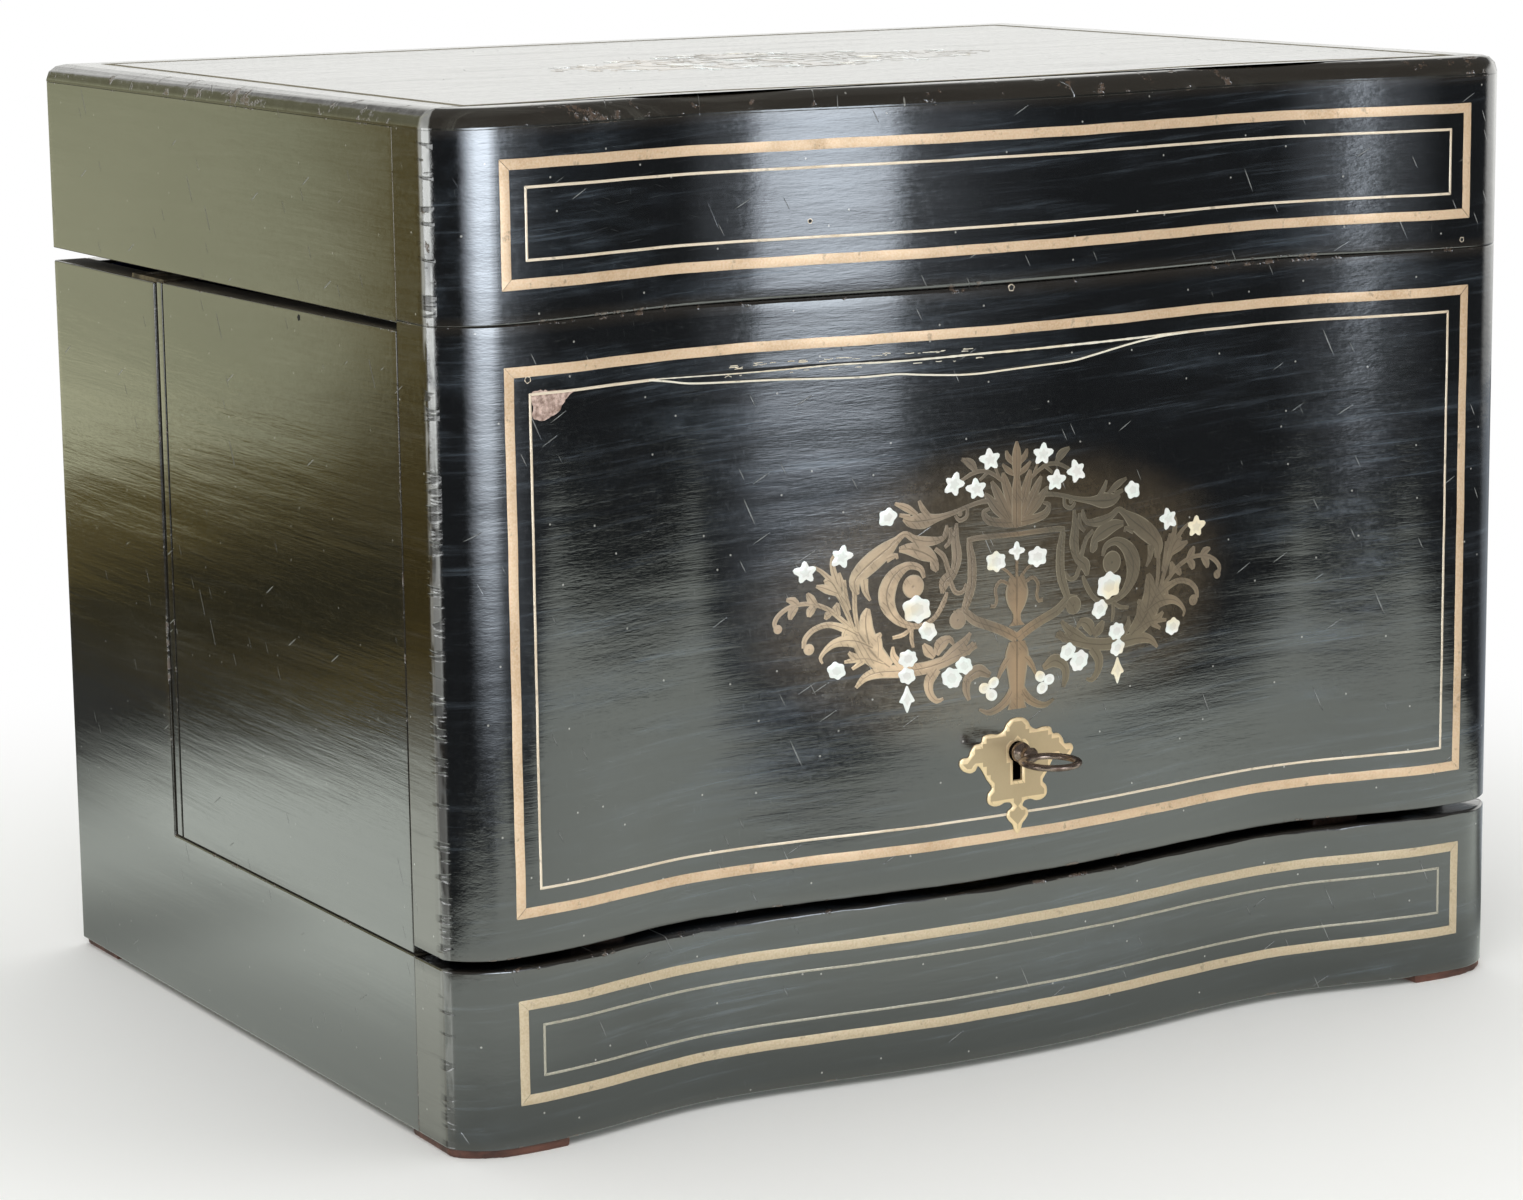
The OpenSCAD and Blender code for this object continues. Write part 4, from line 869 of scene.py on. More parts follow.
SIDE_RIBBONS = [
    # lower bar and its hook
    [(12.5, 113.8, 1.6), (17, 112, 2.4), (23, 110.2, 3.2), (29, 109.2, 3.4), (35, 109.2, 3.6),
     (41, 109.4, 3.2), (45, 108.4, 2.2), (47.6, 106, 0.9)],
    [(24.5, 108.8, 3), (26.8, 105.5, 3), (26.4, 102.2, 2.2), (24.4, 100.2, 1.5), (22.6, 100.7, 0.8)],
    [(23, 110.8, 1.4), (19.3, 113, 2.8), (16.2, 115, 2.4), (14.3, 117.2, 0.9)],
    [(18, 113.2, 1.6), (15.2, 112.6, 2.6), (13.4, 114.6, 1)],
    # acanthus trunk and leaves
    [(38, 110.5, 3.4), (41.8, 113.5, 6), (44.6, 117, 7), (46.6, 120, 4.6), (48, 121.6, 2)],
    [(43.8, 117, 5.4), (44.6, 121, 4.2), (44.6, 124.5, 3.2), (44, 126.4, 1.2)],
    [(41.4, 112.5, 2.4), (41.2, 116, 2.4), (41.4, 118.8, 2.2), (40.4, 119.6, 0.9)],
    [(42.8, 116, 4), (47.8, 118.3, 3.6), (52.8, 118.3, 2.4), (55.9, 116.6, 1.5), (57.4, 114.6, 1),
     (56.8, 113.2, 0.6)],
    [(46.8, 119.6, 3), (50.8, 121.8, 2.2), (55, 123.1, 1.6), (59, 122.3, 1.5), (61.6, 120, 1.5),
     (62, 117.6, 1.2)],
    [(51, 119.6, 1), (50.6, 121, 1.4), (49.4, 122.2, 0.6)],
    [(39.8, 111.5, 2), (43.8, 113.2, 2.4), (47.4, 113.7, 2.4), (49.6, 115.4, 0.9)],
    [(46.8, 113.4, 1.8), (50.8, 113, 0.8)],
    [(45.6, 112.8, 1.8), (48.6, 111, 0.9)],
    [(35, 110.8, 2.2), (37, 113.4, 1.9), (37.1, 115.8, 0.7)],
    # outer twigs
    [(47.2, 120.4, 1.2), (51.3, 124, 1.3), (55.3, 127.2, 1.3), (60.3, 129, 1.2), (65.3, 128.7, 1.2),
     (68.6, 127, 1.3), (70.1, 124.8, 1.3), (69.2, 122.9, 1.2)],
    [(58.6, 128.6, 1.5), (60, 130.4, 2.3), (60.9, 131.8, 0.8)],
    [(58.8, 128.4, 1.5), (60.1, 127, 2.4), (60.5, 125.6, 1)],
    [(63.4, 128.8, 1.4), (64.8, 130.1, 2.3), (66.7, 130.6, 0.8)],
    [(63.8, 128.6, 1.4), (65.3, 127, 2.3), (65.7, 125.4, 0.9)],
    [(52.2, 125.2, 1.2), (52.9, 127.3, 2.2), (52.4, 128.6, 0.8)],
    [(54.2, 126.2, 1.2), (55.4, 125.6, 2), (56, 124.6, 0.8)],
    [(48.1, 121, 1.2), (50, 126, 1.4), (52, 130.5, 1.8), (53.4, 133.2, 4), (55, 134.6, 2.6),
     (56.2, 134.2, 1)],
    [(52.4, 131, 1.6), (55.4, 132.4, 2.4), (58.4, 133.4, 0.8)],
    [(54.2, 134.5, 1.6), (56.8, 137, 1.1), (59, 138.4, 0.8)],
    [(52.4, 133.4, 1.8), (53.6, 137, 1.7), (53.9, 140, 1.1), (53.3, 141.2, 0.6)],
    [(51.2, 132.6, 2.2), (52, 136.4, 0.7)],
    [(46.9, 121, 1.2), (47.7, 126, 1.3), (47.8, 131, 1.4)],
    [(49.2, 126.4, 1), (50.4, 130.6, 1.5), (50.5, 134.4, 0.7)],
    # upper acanthus
    [(47.2, 130.2, 1.6), (47.7, 133.6, 3.4), (45.6, 136.2, 4.8), (42.3, 138.8, 5.2),
     (38.8, 141.2, 4.4), (36.2, 143.2, 2.4), (33.6, 145, 1.2)],
    [(38.8, 138.8, 2.2), (36, 139.6, 1.2), (35.6, 138.6, 0.7)],
    [(45.2, 134, 2.6), (44.7, 130.8, 1.7), (43.4, 128.4, 0.7)],
    [(37.8, 142.4, 1.2), (33.8, 144.9, 1.5), (30.8, 143.4, 2), (26.8, 142.4, 2.6), (22.8, 142.7, 1.5),
     (21.5, 144.4, 1.5), (21.3, 146.2, 0.7)],
    [(35.2, 141, 1.4), (31.8, 140.8, 3.4), (27.8, 139.4, 4.2), (25.2, 137.6, 2.2), (24, 135.6, 0.8)],
    # scroll
    [(28, 133, 1), (29.2, 135.6, 1.7), (32.8, 136.5, 2.3), (36.6, 134.2, 4), (38.6, 130.5, 5),
     (38.4, 126.6, 4.2), (36, 122.9, 2.6), (32.4, 120.9, 1.7), (28.3, 120.6, 1.5),
     (24.8, 122.5, 1.4), (22.4, 126, 1.5), (21.3, 128.6, 0.8)],
    [(31.5, 120.4, 0.9), (34, 118.7, 1.2), (37.2, 118.1, 0.9)],
    [(31.6, 120.3, 0.9), (31.8, 117.6, 1.2), (31.3, 115, 0.8)],
    [(25.2, 111.8, 1.2), (26.9, 113.6, 3), (28.4, 115.6, 1)],
    [(24.6, 112.4, 1.6), (23.3, 115, 3.6), (20.8, 116.2, 2), (19.4, 114.6, 0.8)],
    [(8.3, 105.3, 1.5), (12, 106.9, 3.6), (15.2, 105, 2.7), (15.7, 102, 2.2), (14.8, 99.4, 1)],
    # cup under the shield
    [(19.4, 122.6, 1.8), (16.4, 122.8, 2.4), (12.8, 120.2, 2.7), (7.8, 118.2, 2.7), (3.8, 116.4, 2.8),
     (0, 114.2, 2.8)],
    # shield frame
    [(0, 141.8, 1.3), (13.3, 141.9, 1.5), (14.6, 140.8, 1.7), (13.9, 136, 2.6), (14, 130, 2.8),
     (15.6, 125, 2.4), (16.8, 122.4, 1.5)],
    # strapwork between shield and scroll
    [(20.2, 145.4, 1), (20.4, 142, 1.3), (22, 140.4, 1)],
    [(24.8, 140.3, 1.1), (22.4, 138.2, 1.4), (21, 134.5, 1.4), (20.2, 131, 1.4), (18.8, 128.3, 1.3),
     (16.6, 128.3, 1.2), (15.6, 130.3, 0.8)],
    [(18.4, 146.4, 0.8), (18.8, 142, 2.4), (18.4, 137.6, 3), (19.4, 133.6, 2.4), (22, 131.4, 3.4),
     (22.8, 128.4, 1)],
    [(24.2, 134.4, 1), (25, 135.8, 2.6), (26, 137.4, 0.8)],
    # upper scroll with its twigs
    [(6, 151, 1.5), (10, 151.4, 1.3), (14.5, 150.6, 1.2), (19, 149.3, 1.3), (24, 148.3, 2),
     (28, 147.9, 4.2), (31.6, 147.9, 3.2), (34, 148.8, 0.9)],
    [(15.2, 150.3, 1), (15.4, 147.9, 1.1), (17.5, 147, 1.1), (18.8, 148.4, 0.8)],
    [(26.5, 149, 1.2), (28.2, 150.8, 1.6), (29.4, 153.2, 0.8)],
    [(30, 149.6, 1.2), (33, 151.6, 2), (36.3, 153, 0.8)],
    [(32, 149.2, 1.4), (35, 149.9, 1)],
    [(2.4, 154, 0.9), (5.5, 157, 1), (9.5, 159.2, 1.1), (13.4, 159, 1.1), (17, 157.3, 0.9)],
    [(12.4, 159.3, 1), (14.2, 161.6, 2.5), (16.9, 163, 0.8)],
    [(5.4, 157.2, 0.8), (6.6, 159.8, 0.8)],
    [(9, 158.8, 0.9), (11.4, 157, 0.8)],
    # palmette
    [(0.9, 146, 1.4), (2.2, 151.5, 2.8), (3.6, 155.8, 2.4), (4.3, 158.4, 0.8)],
    [(2, 146, 1.6), (4.6, 150.6, 2.8), (6.6, 154.2, 2.2), (7.8, 156.4, 0.8)],
    [(3.4, 146.2, 1.6), (6.4, 149.2, 2.6), (8.6, 152, 2), (10, 153.4, 0.7)],
    [(0, 145, 3), (5, 145.3, 2.4), (9, 146.4, 2.2), (10.2, 148.6, 1.4), (8.4, 149.3, 0.8)],
    [(0.6, 160.4, 1.4), (2.7, 162.3, 1.7), (3.2, 164, 0.7)],
    [(0.6, 157.6, 1.2), (2.8, 158.9, 1.6), (4.4, 160.6, 0.6)],
    # vase: foot, leaves, handles
    [(1.2, 130.4, 0.9), (3.2, 132.4, 0.8), (5.2, 133.6, 0.7)],
    [(2.6, 128.8, 0.9), (5, 129.9, 1), (6.7, 128, 1), (6.3, 125, 0.9), (7, 123.4, 1), (8.2, 123.6, 1.1)],
    # lower curl of the stem
    [(11.8, 96.6, 0.7), (8.8, 95.4, 1.6), (5.3, 96.5, 2.2), (2.3, 99, 2.6), (1, 102, 2)],
    [(6, 104, 0.8), (4.4, 107, 1.8), (1.4, 110, 3)],
]
MIDDLE_RIBBONS = [
    [(0, 95.4, 6), (0, 98, 4.4), (0, 102, 5), (0, 106, 6.4), (0, 110, 7.4), (0, 113.4, 5)],
    [(0, 117.6, 5), (0, 118.6, 3), (0, 120.6, 2.4), (0, 123, 5.4), (0, 126, 7.2), (0, 128.6, 6.2),
     (0, 130.6, 4.6)],
    [(0, 130, 0.8), (0, 136, 0.8)],
    [(0, 144, 3), (0, 150, 3.2), (0, 155, 2.6), (0, 158.4, 1)],
    [(0, 156, 1.6), (0, 160, 2.8), (0, 163.4, 2.6), (0, 166.2, 0.7)],
]
SIDE_DISCS = [(60.6, 117.2, 1.5), (31.2, 131, 3.1), (18.2, 121, 2.5), (69.2, 123.2, 1.2),
              (17.4, 148.8, 0.7)]
# Pearl flowers: place, radius, petals, how deep the petals are cut.
FLOWERS = [(8.2, 162, 2.9, 5, 0.3), (19.3, 156.6, 2.9, 5, 0.3), (12.4, 154.7, 2.8, 5, 0.3),
           (38.4, 149.8, 2.4, 5, 0.16), (51.4, 140.5, 2.9, 5, 0.3), (61.3, 137.1, 2.9, 5, 0.3),
           (6.3, 135.1, 2.8, 6, 0.16), (30, 124.7, 3.7, 6, 0.14), (27.2, 118.8, 2.4, 6, 0.12),
           (32.7, 112.2, 2.4, 7, 0.12), (33.2, 107.6, 2.2, 6, 0.12), (53, 110.8, 2.3, 6, 0.12),
           (20.2, 105.7, 2.7, 7, 0.1), (16.4, 108.6, 2.3, 6, 0.12), (7.4, 103.3, 1.4, 12, 0),
           (10.1, 102, 1.4, 12, 0), (8, 99.9, 1.5, 12, 0)]
MIDDLE_FLOWERS = [(0, 137.4, 2.6, 4, 0.26)]
BELL = [(33.2, 105.2), (34.2, 103.2), (35.4, 101), (34.4, 100.6), (33.9, 99.4), (33.2, 98),
        (32.5, 99.4), (32, 100.6), (31, 101), (32.2, 103.2)]
# Escutcheon, measured from the round centre of the keyhole; the left half mirrors it.
PLATE = [(0, 9.1), (1.9, 8.8), (3.4, 7.6), (4.2, 6.2), (6, 5.3), (8.4, 5.6), (10.6, 5.2),
         (11.3, 3.5), (13.2, 3.2), (14.6, 1.6), (15.2, 0.2), (17.2, 0), (18, -1.4), (16.8, -3.3),
         (14.6, -4.1), (13, -3.5), (12.4, -2.4), (11.2, -3.6), (9.6, -6.4), (8, -8.8), (9.2, -10.4),
         (9.3, -12.6), (7.8, -13.8), (5.8, -13.9), (4, -13.3), (2.2, -13.6), (1.6, -14.8),
         (3, -15.8), (3.4, -17.2), (2.5, -18.6), (1.5, -19.6), (1, -21.2), (0, -22.2)]
KEYHOLE_R = 2.75
KEYHOLE_SLOT = (1.5, -7.8)


class Drawing:
    """Flat shapes in millimetres, gathered with a height and an engraving value."""

    def __init__(self):
        self.points, self.faces, self.heights, self.engraving = [], [], [], []

    def patch(self, points, faces, heights, engraving):
        first = len(self.points)
        self.points += [tuple(p) for p in points]
        self.faces += [tuple(first + i for i in f) for f in faces]
        self.heights += list(heights)
        self.engraving += list(engraving)

    def ribbon(self, stations, level):
        """Strip of changing width with steep edges that run into the wood."""
        curve = smooth_curve(stations, 0.7)
        middle, width = curve[:, :2], np.maximum(curve[:, 2], 0.3)
        normal = unit(np.gradient(middle, axis=0))[:, ::-1] * [-1, 1]
        across = np.array([-1, -1, -0.55, 0, 0.55, 1, 1]) / 2
        rise = np.array([-0.4, level, level + 0.02, level + 0.03, level + 0.02, level, -0.4])
        rows = len(across)
        points = (middle[:, None] + normal[:, None] * (width[:, None, None] * across[:, None]))
        faces = [(i * rows + k, (i + 1) * rows + k, (i + 1) * rows + k + 1, i * rows + k + 1)
                 for i in range(len(curve) - 1) for k in range(rows - 1)]
        last = len(curve) * rows - 1
        faces += [tuple(range(rows)), tuple(range(last, last - rows, -1))]
        self.patch(points.reshape(-1, 2), faces, np.tile(rise, len(curve)),
                   np.tile(np.abs(across) * 2, len(curve)))

    def shape(self, outline, level, dome=0.0):
        """Filled outline round its middle, raised to the level plus a dome."""
        outline = np.asarray(outline, float)
        centre, count = outline.mean(0), len(outline)
        rings = [(1.0, -0.4, 1.0), (1.0, level, 1.0), (0.8, level + 0.5 * dome, 0.7),
                 (0.4, level + 0.9 * dome, 0.3)]
        points = [centre + (outline - centre) * r for r, _, _ in rings]
        faces = [(a * count + i, a * count + (i + 1) % count,
                  (a + 1) * count + (i + 1) % count, (a + 1) * count + i)
                 for a in range(3) for i in range(count)]
        faces += [(3 * count + i, 3 * count + (i + 1) % count, 4 * count) for i in range(count)]
        self.patch(np.concatenate(points + [[centre]]), faces,
                   np.concatenate([np.full(count, h) for _, h, _ in rings] + [[level + dome]]),
                   np.concatenate([np.full(count, e) for _, _, e in rings] + [[0.0]]))

    def both_sides(self):
        """Adds the mirror image of all drawn so far."""
        self.patch([(-u, z) for u, z in self.points], [f[::-1] for f in self.faces],
                   list(self.heights), list(self.engraving))
        return self

    def build(self, name, body, slot, shader, lay, node=None):
        """Lays the drawing on a surface: lay(x, z, proud) in metres."""
        laid = lay(*np.array(self.points).T * MM, np.array(self.heights) * MM)
        mesh_piece(name, laid, self.faces, body, slot, shader, node, {"engraving": self.engraving},
                   sharp=50)


def flower_outline(u, z, radius, petals, cut, turn, uneven=0.0):
    """Petalled outline; uneven makes some petals longer than others."""
    angles = np.linspace(0, 2 * math.pi, 6 * petals, endpoint=False)
    shape = radius * (1 - cut + cut * np.cos(petals * (angles - turn)) * 0.95)
    shape *= 1 + uneven * (np.sin(angles + 9 * turn) + np.sin(2 * angles + 5 * turn)) / 2
    return np.stack([u + shape * np.cos(angles), z + shape * np.sin(angles)], 1)


def brass_drawing():
    drawing = Drawing()
    for k, stations in enumerate(SIDE_RIBBONS):
        drawing.ribbon(stations, 0.05 + 0.0012 * k)
    for k, (u, z, r) in enumerate(SIDE_DISCS):
        drawing.shape(flower_outline(u, z, r, 4, 0, 0), 0.13 + 0.002 * k, 0.02)
    drawing.both_sides()
    for k, stations in enumerate(MIDDLE_RIBBONS):
        drawing.ribbon(stations, 0.14 + 0.0015 * k)
    return drawing


def pearl_drawing():
    """The flowers, bell drops and berries, a little different on each side."""
    rng = np.random.default_rng(8)
    drawing = Drawing()
    for u, z, radius, petals, cut in FLOWERS:
        turn = 1.57 + rng.uniform(-0.35, 0.35)
        drawing.shape(flower_outline(u, z, 1.1 * radius, petals, 0.7 * cut, turn, 0.16), 0.17, 0.12)
    drawing.shape(smooth_curve(BELL, 0.5, closed=True), 0.17, 0.12)
    drawing.both_sides()
    for flower in MIDDLE_FLOWERS:
        drawing.shape(flower_outline(*flower, 1.57), 0.17, 0.12)
    return drawing


marquetry_low, marquetry_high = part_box("cartouche_brass")
laid_low, laid_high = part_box("top_marquetry_brass")


def on_top(x, z, proud):
    share = (z - marquetry_low.z) / (marquetry_high.z - marquetry_low.z)
    return np.stack([x, laid_low.y + share * (laid_high.y - laid_low.y), top_high.z + proud * 0.5], -1)


for name, lay, shader in (("cartouche", on_front, CARTOUCHE), ("top_marquetry", on_top, TOP_BRASS)):
    brass_drawing().build(f"{name}_engraved_brass", "lid", "marquetry_brass", shader, lay,
                          f"{name}_brass")
    pearl_drawing().build(f"{name}_pearl_flowers", "lid", "mother_of_pearl", PEARL, lay,
                          f"{name}_pearl")


def keyhole_outline(grow=0.0):
    """Round hole with a slot below, counterclockwise from the slot's right foot."""
    half, foot = KEYHOLE_SLOT[0] + grow, KEYHOLE_SLOT[1] - grow
    radius = KEYHOLE_R + grow
    start = -math.pi / 2 + math.asin(half / radius)
    angles = np.linspace(start, start + 2 * (math.pi - math.asin(half / radius)), 28)
    return [(half, foot)] + [(radius * math.cos(a), radius * math.sin(a)) for a in angles] + [
        (-half, foot)]


def inside(point, outline):
    x, y = point
    hit = False
    for (ax, ay), (bx, by) in zip(outline, np.roll(outline, -1, 0)):
        if (ay > y) != (by > y) and x < (bx - ax) * (y - ay) / (by - ay) + ax:
            hit = not hit
    return hit


def make_escutcheon():
    """Cut brass plate with softened edges and an open keyhole."""
    centre_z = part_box("escutcheon")[0].z - PLATE[-1][1] * MM
    half = smooth_curve(PLATE, 0.45)
    outline = np.concatenate([half[::-1], half[1:-1] * [-1, 1]])
    hole = np.array(keyhole_outline())
    rings = []
    for loop, sign in ((outline, 1), (hole, -1)):
        normal = unit(np.roll(loop, -1, 0) - np.roll(loop, 1, 0))[:, ::-1] * [-sign, sign]
        rings.append((loop, loop + 0.18 * normal, loop + 0.5 * normal))
    lattice = [(x, z) for x in np.arange(-18, 18.1, 1.2) for z in np.arange(-22, 9, 1.2)]
    lattice = [p for p in lattice if inside(p, rings[0][2]) and not inside(p, rings[1][2])]
    flat = np.concatenate([rings[0][1], rings[1][1], np.array(lattice)])
    a, b = len(rings[0][1]), len(rings[1][1])
    loops = [list(range(a)), list(range(a, a + b))]
    edges = [(loop[i - 1], loop[i]) for loop in loops for i in range(len(loop))]
    points, _, faces, *_ = delaunay_2d_cdt([Vector(p) for p in flat], edges, [], 0, 1e-7)
    points = [tuple(p) for p in points]
    faces = [tuple(f) for f in faces
             if inside(np.mean([points[i] for i in f], 0), rings[0][1])
             and not inside(np.mean([points[i] for i in f], 0), rings[1][1])]
    heights = [0.4] * len(points)
    engraving = [1.0 if i < a + b else 0.0 for i in range(len(points))]
    for (outer, *_), loop in zip(rings, loops):
        count, first = len(outer), len(points)
        points += [tuple(p) for p in outer] * 2
        heights += [0.28] * count + [-0.6] * count
        engraving += [1.0] * 2 * count
        for i in range(count):
            j = (i + 1) % count
            faces.append((loop[i], loop[j], first + j, first + i))
            faces.append((first + i, first + j, first + count + j, first + count + i))
    drawing = Drawing()
    drawing.patch([(x, z + centre_z / MM) for x, z in points], faces, heights, engraving)
    drawing.build("escutcheon_plate", "lid", "brass_fittings", PLATE_BRASS, on_front, "escutcheon")
    return centre_z


KEYHOLE_Z = make_escutcheon()


def cut_out(target, loop, near, far):
    """Takes a prism out of a board: its outline in x and z, from y = near to y = far."""
    count = len(loop)
    points = [(x, y, z) for y in (near, far) for x, z in loop]
    faces = [tuple(range(count)), tuple(range(2 * count - 1, count - 1, -1))]
    faces += [(i, count + i, count + (i + 1) % count, (i + 1) % count) for i in range(count)]
    mesh = bpy.data.meshes.new("cutter")
    mesh.from_pydata(points, [], faces)
    cutter = new_object("cutter", mesh)
    modifier = target.modifiers.new("cutter", "BOOLEAN")
    modifier.operation, modifier.solver, modifier.object = "DIFFERENCE", "EXACT", cutter
    target.modifiers.move(target.modifiers.find("cutter"), 0)
    bpy.context.view_layer.update()
    target.modifiers[1].show_viewport = False
    cut = bpy.data.meshes.new_from_object(target.evaluated_get(bpy.context.evaluated_depsgraph_get()))
    target.modifiers[1].show_viewport = True
    target.modifiers.remove(modifier)
    target.data = cut
    bpy.data.objects.remove(cutter)


def cut_lock_room():
    """Keyhole and lock pocket in the panel; strike seat and bolt mortise in the plinth."""
    panel, plinth = bpy.data.objects["front_panel_board"], bpy.data.objects["plinth_front_board"]
    cut_out(panel, np.array(keyhole_outline(0.3)) * MM + [0, KEYHOLE_Z], FRONT - 5 * MM, SEAM + 5 * MM)
    low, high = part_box("lock_case")
    cut_out(panel, rectangle(low.x, high.x, low.z - 2 * MM, high.z), low.y, SEAM + 2 * MM)
    low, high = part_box("strike_plate")
    cut_out(plinth, rectangle(low.x, high.x, low.z, high.z + 2 * MM), low.y, high.y)
    top, slack = high.z, 0.4 * MM
    low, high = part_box("lock_bolt")
    cut_out(plinth, rectangle(low.x, high.x, top - 9 * MM - slack, top, slack),
            low.y - slack, high.y + slack)


cut_lock_room()


def on_door(y, z, proud):
    """Points on the outside of the left door."""
    return np.stack([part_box("door_left")[0].x - proud, y, z], 1)


# Torn place in the veneer, and worm and pin holes: (x, z) in millimetres on the front.
CHIP = [(-141.6, 190.4), (-137, 190.6), (-133.6, 190.3), (-129, 189.9), (-131.4, 188.4), (-133, 186.6),
        (-134.2, 184.9), (-136.2, 184.2), (-138.2, 183.4), (-141.4, 184.3), (-141.2, 186.8)]
PIN_HOLES = [(-142.6, 193.6, 0.75), (-1.5, 206.2, 0.8), (146.5, 209.5, 0.6), (-59, 226.4, 0.5)]
WORM_HOLE = (-33.7, 202.4, 0.9)


def make_blemishes():
    rng = np.random.default_rng(5)
    chip = Drawing()
    edge = smooth_curve(CHIP, 0.6, closed=True)
    chip.shape(edge + rng.normal(0, 0.12, edge.shape), 0.03, -0.01)
    chip.build("torn_veneer_patch", "lid", "carcass_wood", TORN, on_front)
    holes, rims = Drawing(), Drawing()
    for x, z, r in PIN_HOLES:
        rims.shape(flower_outline(x, z, r + 0.18, 5, 0.08, rng.uniform(0, 6)), 0.025, 0.0)
        holes.shape(flower_outline(x, z, r, 5, 0.08, rng.uniform(0, 6)), 0.045, -0.01)
    rims.build("pin_hole_rims", "lid", "brass_stringing", STRING, on_front)
    # The pin holes and the worm hole are flat near-black discs, not cut: painted shadow of the holes.
    holes.build("pin_holes", "lid", "ebonised_wood", HOLLOW_SHADOW, on_front)
    worm = Drawing()
    worm.shape(flower_outline(*WORM_HOLE, 5, 0.1, 0.0), 0.04, -0.01)
    worm.build("worm_hole", "left_door", "ebonised_wood", HOLLOW_SHADOW, on_door)


make_blemishes()

# ---- Feet and key ----


def make_feet():
    """Thin worn pads that follow the corners of the plinth."""
    low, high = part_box("feet")
    deep, wide = 22 * MM, 28 * MM
    parts = []
    rng = np.random.default_rng(2)
    near = PLAN_X > high.x - 30 * MM
    front_line = PLAN[near] - 0.25 * MM * PLAN_NORMAL[near]
    front_line = np.clip(front_line, [-high.x - MM, -1], [high.x + MM, 1])
    back_corners = rectangle(high.x - wide, high.x, high.y - deep, high.y)
    back_corners = back_corners[1:] + back_corners[:1]
    front_corners = [*front_line, (high.x, low.y + deep), (front_line[0][0], low.y + deep)]
    for corners in (front_corners, back_corners):
        for flip in (1, -1):
            outline = np.array(corners) * [flip, 1]
            centre = outline.mean(0)
            count = len(outline)
            rough = rng.uniform(0, 0.5 * MM, (count, 1))
            inward = unit(centre - outline)
            rings = [np.concatenate([outline + inward * (rough + d * MM), np.full((count, 1), z)], 1)
                     for d, z in ((0.5, 0.0), (0.1, 0.5 * MM), (0.0, 1.5 * MM), (0.0, high.z + 0.2 * MM))]
            parts.append((np.concatenate(rings), skin_faces(4, count)))
    mesh_piece("worn_feet", *joined(parts), "case", "foot_wood", FOOT, "feet")


def lathe(profile, sides=32, at=(0, 0, 0), order=(0, 1, 2), down=1):
    """Surface turned about the Y axis; profile is (y, radius) in millimetres from end to
    end. order puts its axes on others, down turns it over, and at is where it stands."""
    angles = np.linspace(0, 2 * math.pi, sides, endpoint=False)
    rings = [np.stack([r * np.cos(angles), np.full(sides, y), r * np.sin(angles)], 1)
             for y, r in np.array(profile) * MM]
    points = np.concatenate(rings)[:, order] * [1, 1, down] + at
    return points, skin_faces(len(rings), sides)


UPRIGHT = (0, 2, 1)


def make_key():
    """Oval bow, turned collar, shank and bit."""
    low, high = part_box("key")
    axis_z = (low.z + high.z) / 2
    bow_y, reach, half = low.y + 8.3 * MM, 7.4 * MM, 6.9 * MM
    around = np.linspace(0, 2 * math.pi, 64, endpoint=False)
    section = np.linspace(0, 2 * math.pi, 14, endpoint=False)
    rings = []
    for a in around:
        centre = np.array([half * math.cos(a), bow_y + reach * math.sin(a), 0])
        out = np.array([math.cos(a), math.sin(a), 0])
        wide = (1.25 + 0.25 * math.sin(a)) * MM
        rings.append([centre + out * wide * math.cos(b) + np.array([0, 0, 0.85 * MM * math.sin(b)])
                      for b in section])
    parts = [(np.concatenate(rings), skin_faces(64, 14, closed_rings=True))]
    face = FRONT + BOW_D
    neck = bow_y + reach
    neck, face, end = neck / MM, face / MM, high.y / MM
    parts.append(lathe([(neck - 0.6, 0.4), (neck, 1.3), (neck + 0.8, 1.7), (neck + 1.6, 2.2),
                        (neck + 2.4, 1.5), (face - 3.4, 1.6), (face - 2.8, 2.6), (face - 2, 2.8),
                        (face - 1.2, 2.6), (face - 0.8, 1.9), (end, 1.9)]))
    made = mesh_piece("turned_key", *joined(parts), "key", "key_steel", KEY_METAL, "key", sharp=60)
    for vertex in made.data.vertices:
        vertex.co.z += axis_z
    plank("key_bit", (-6.4 * MM, SEAM - 7.5 * MM, axis_z - 0.7 * MM),
          (-1 * MM, SEAM - 4.5 * MM, axis_z + 0.7 * MM), "key", "key_steel", KEY_METAL, "key", 0.15 * MM)


make_feet()
make_key()

# ---- Cloth, leather, inner wood and metal ----


def toned(colour, factor):
    return tuple(factor * c for c in colour)


@finished
def velvet(base, sheen):
    """Short pile: dark where it stands, paler where it has been brushed over."""
    brushed = noise(30.0, 4.0, 0.6, (1, 0.5, 1))
    pile = noise(2400.0, 2.0, 0.7)
    colour = layered(base, (step(brushed, 0.42, 0.68), toned(base, 2.2)),
                     (step(pile, 0.35, 0.8, 0.0, 0.5), toned(base, 0.4)))
    return {
        "Base Color": colour, "Roughness": 0.95, "Specular IOR Level": 0.15, "Sheen Weight": 0.9,
        "Sheen Roughness": 0.35, "Sheen Tint": sheen,
        "Normal": bump(pile, 0.0003, 0.6, bump(brushed, 0.0008, 0.3))}


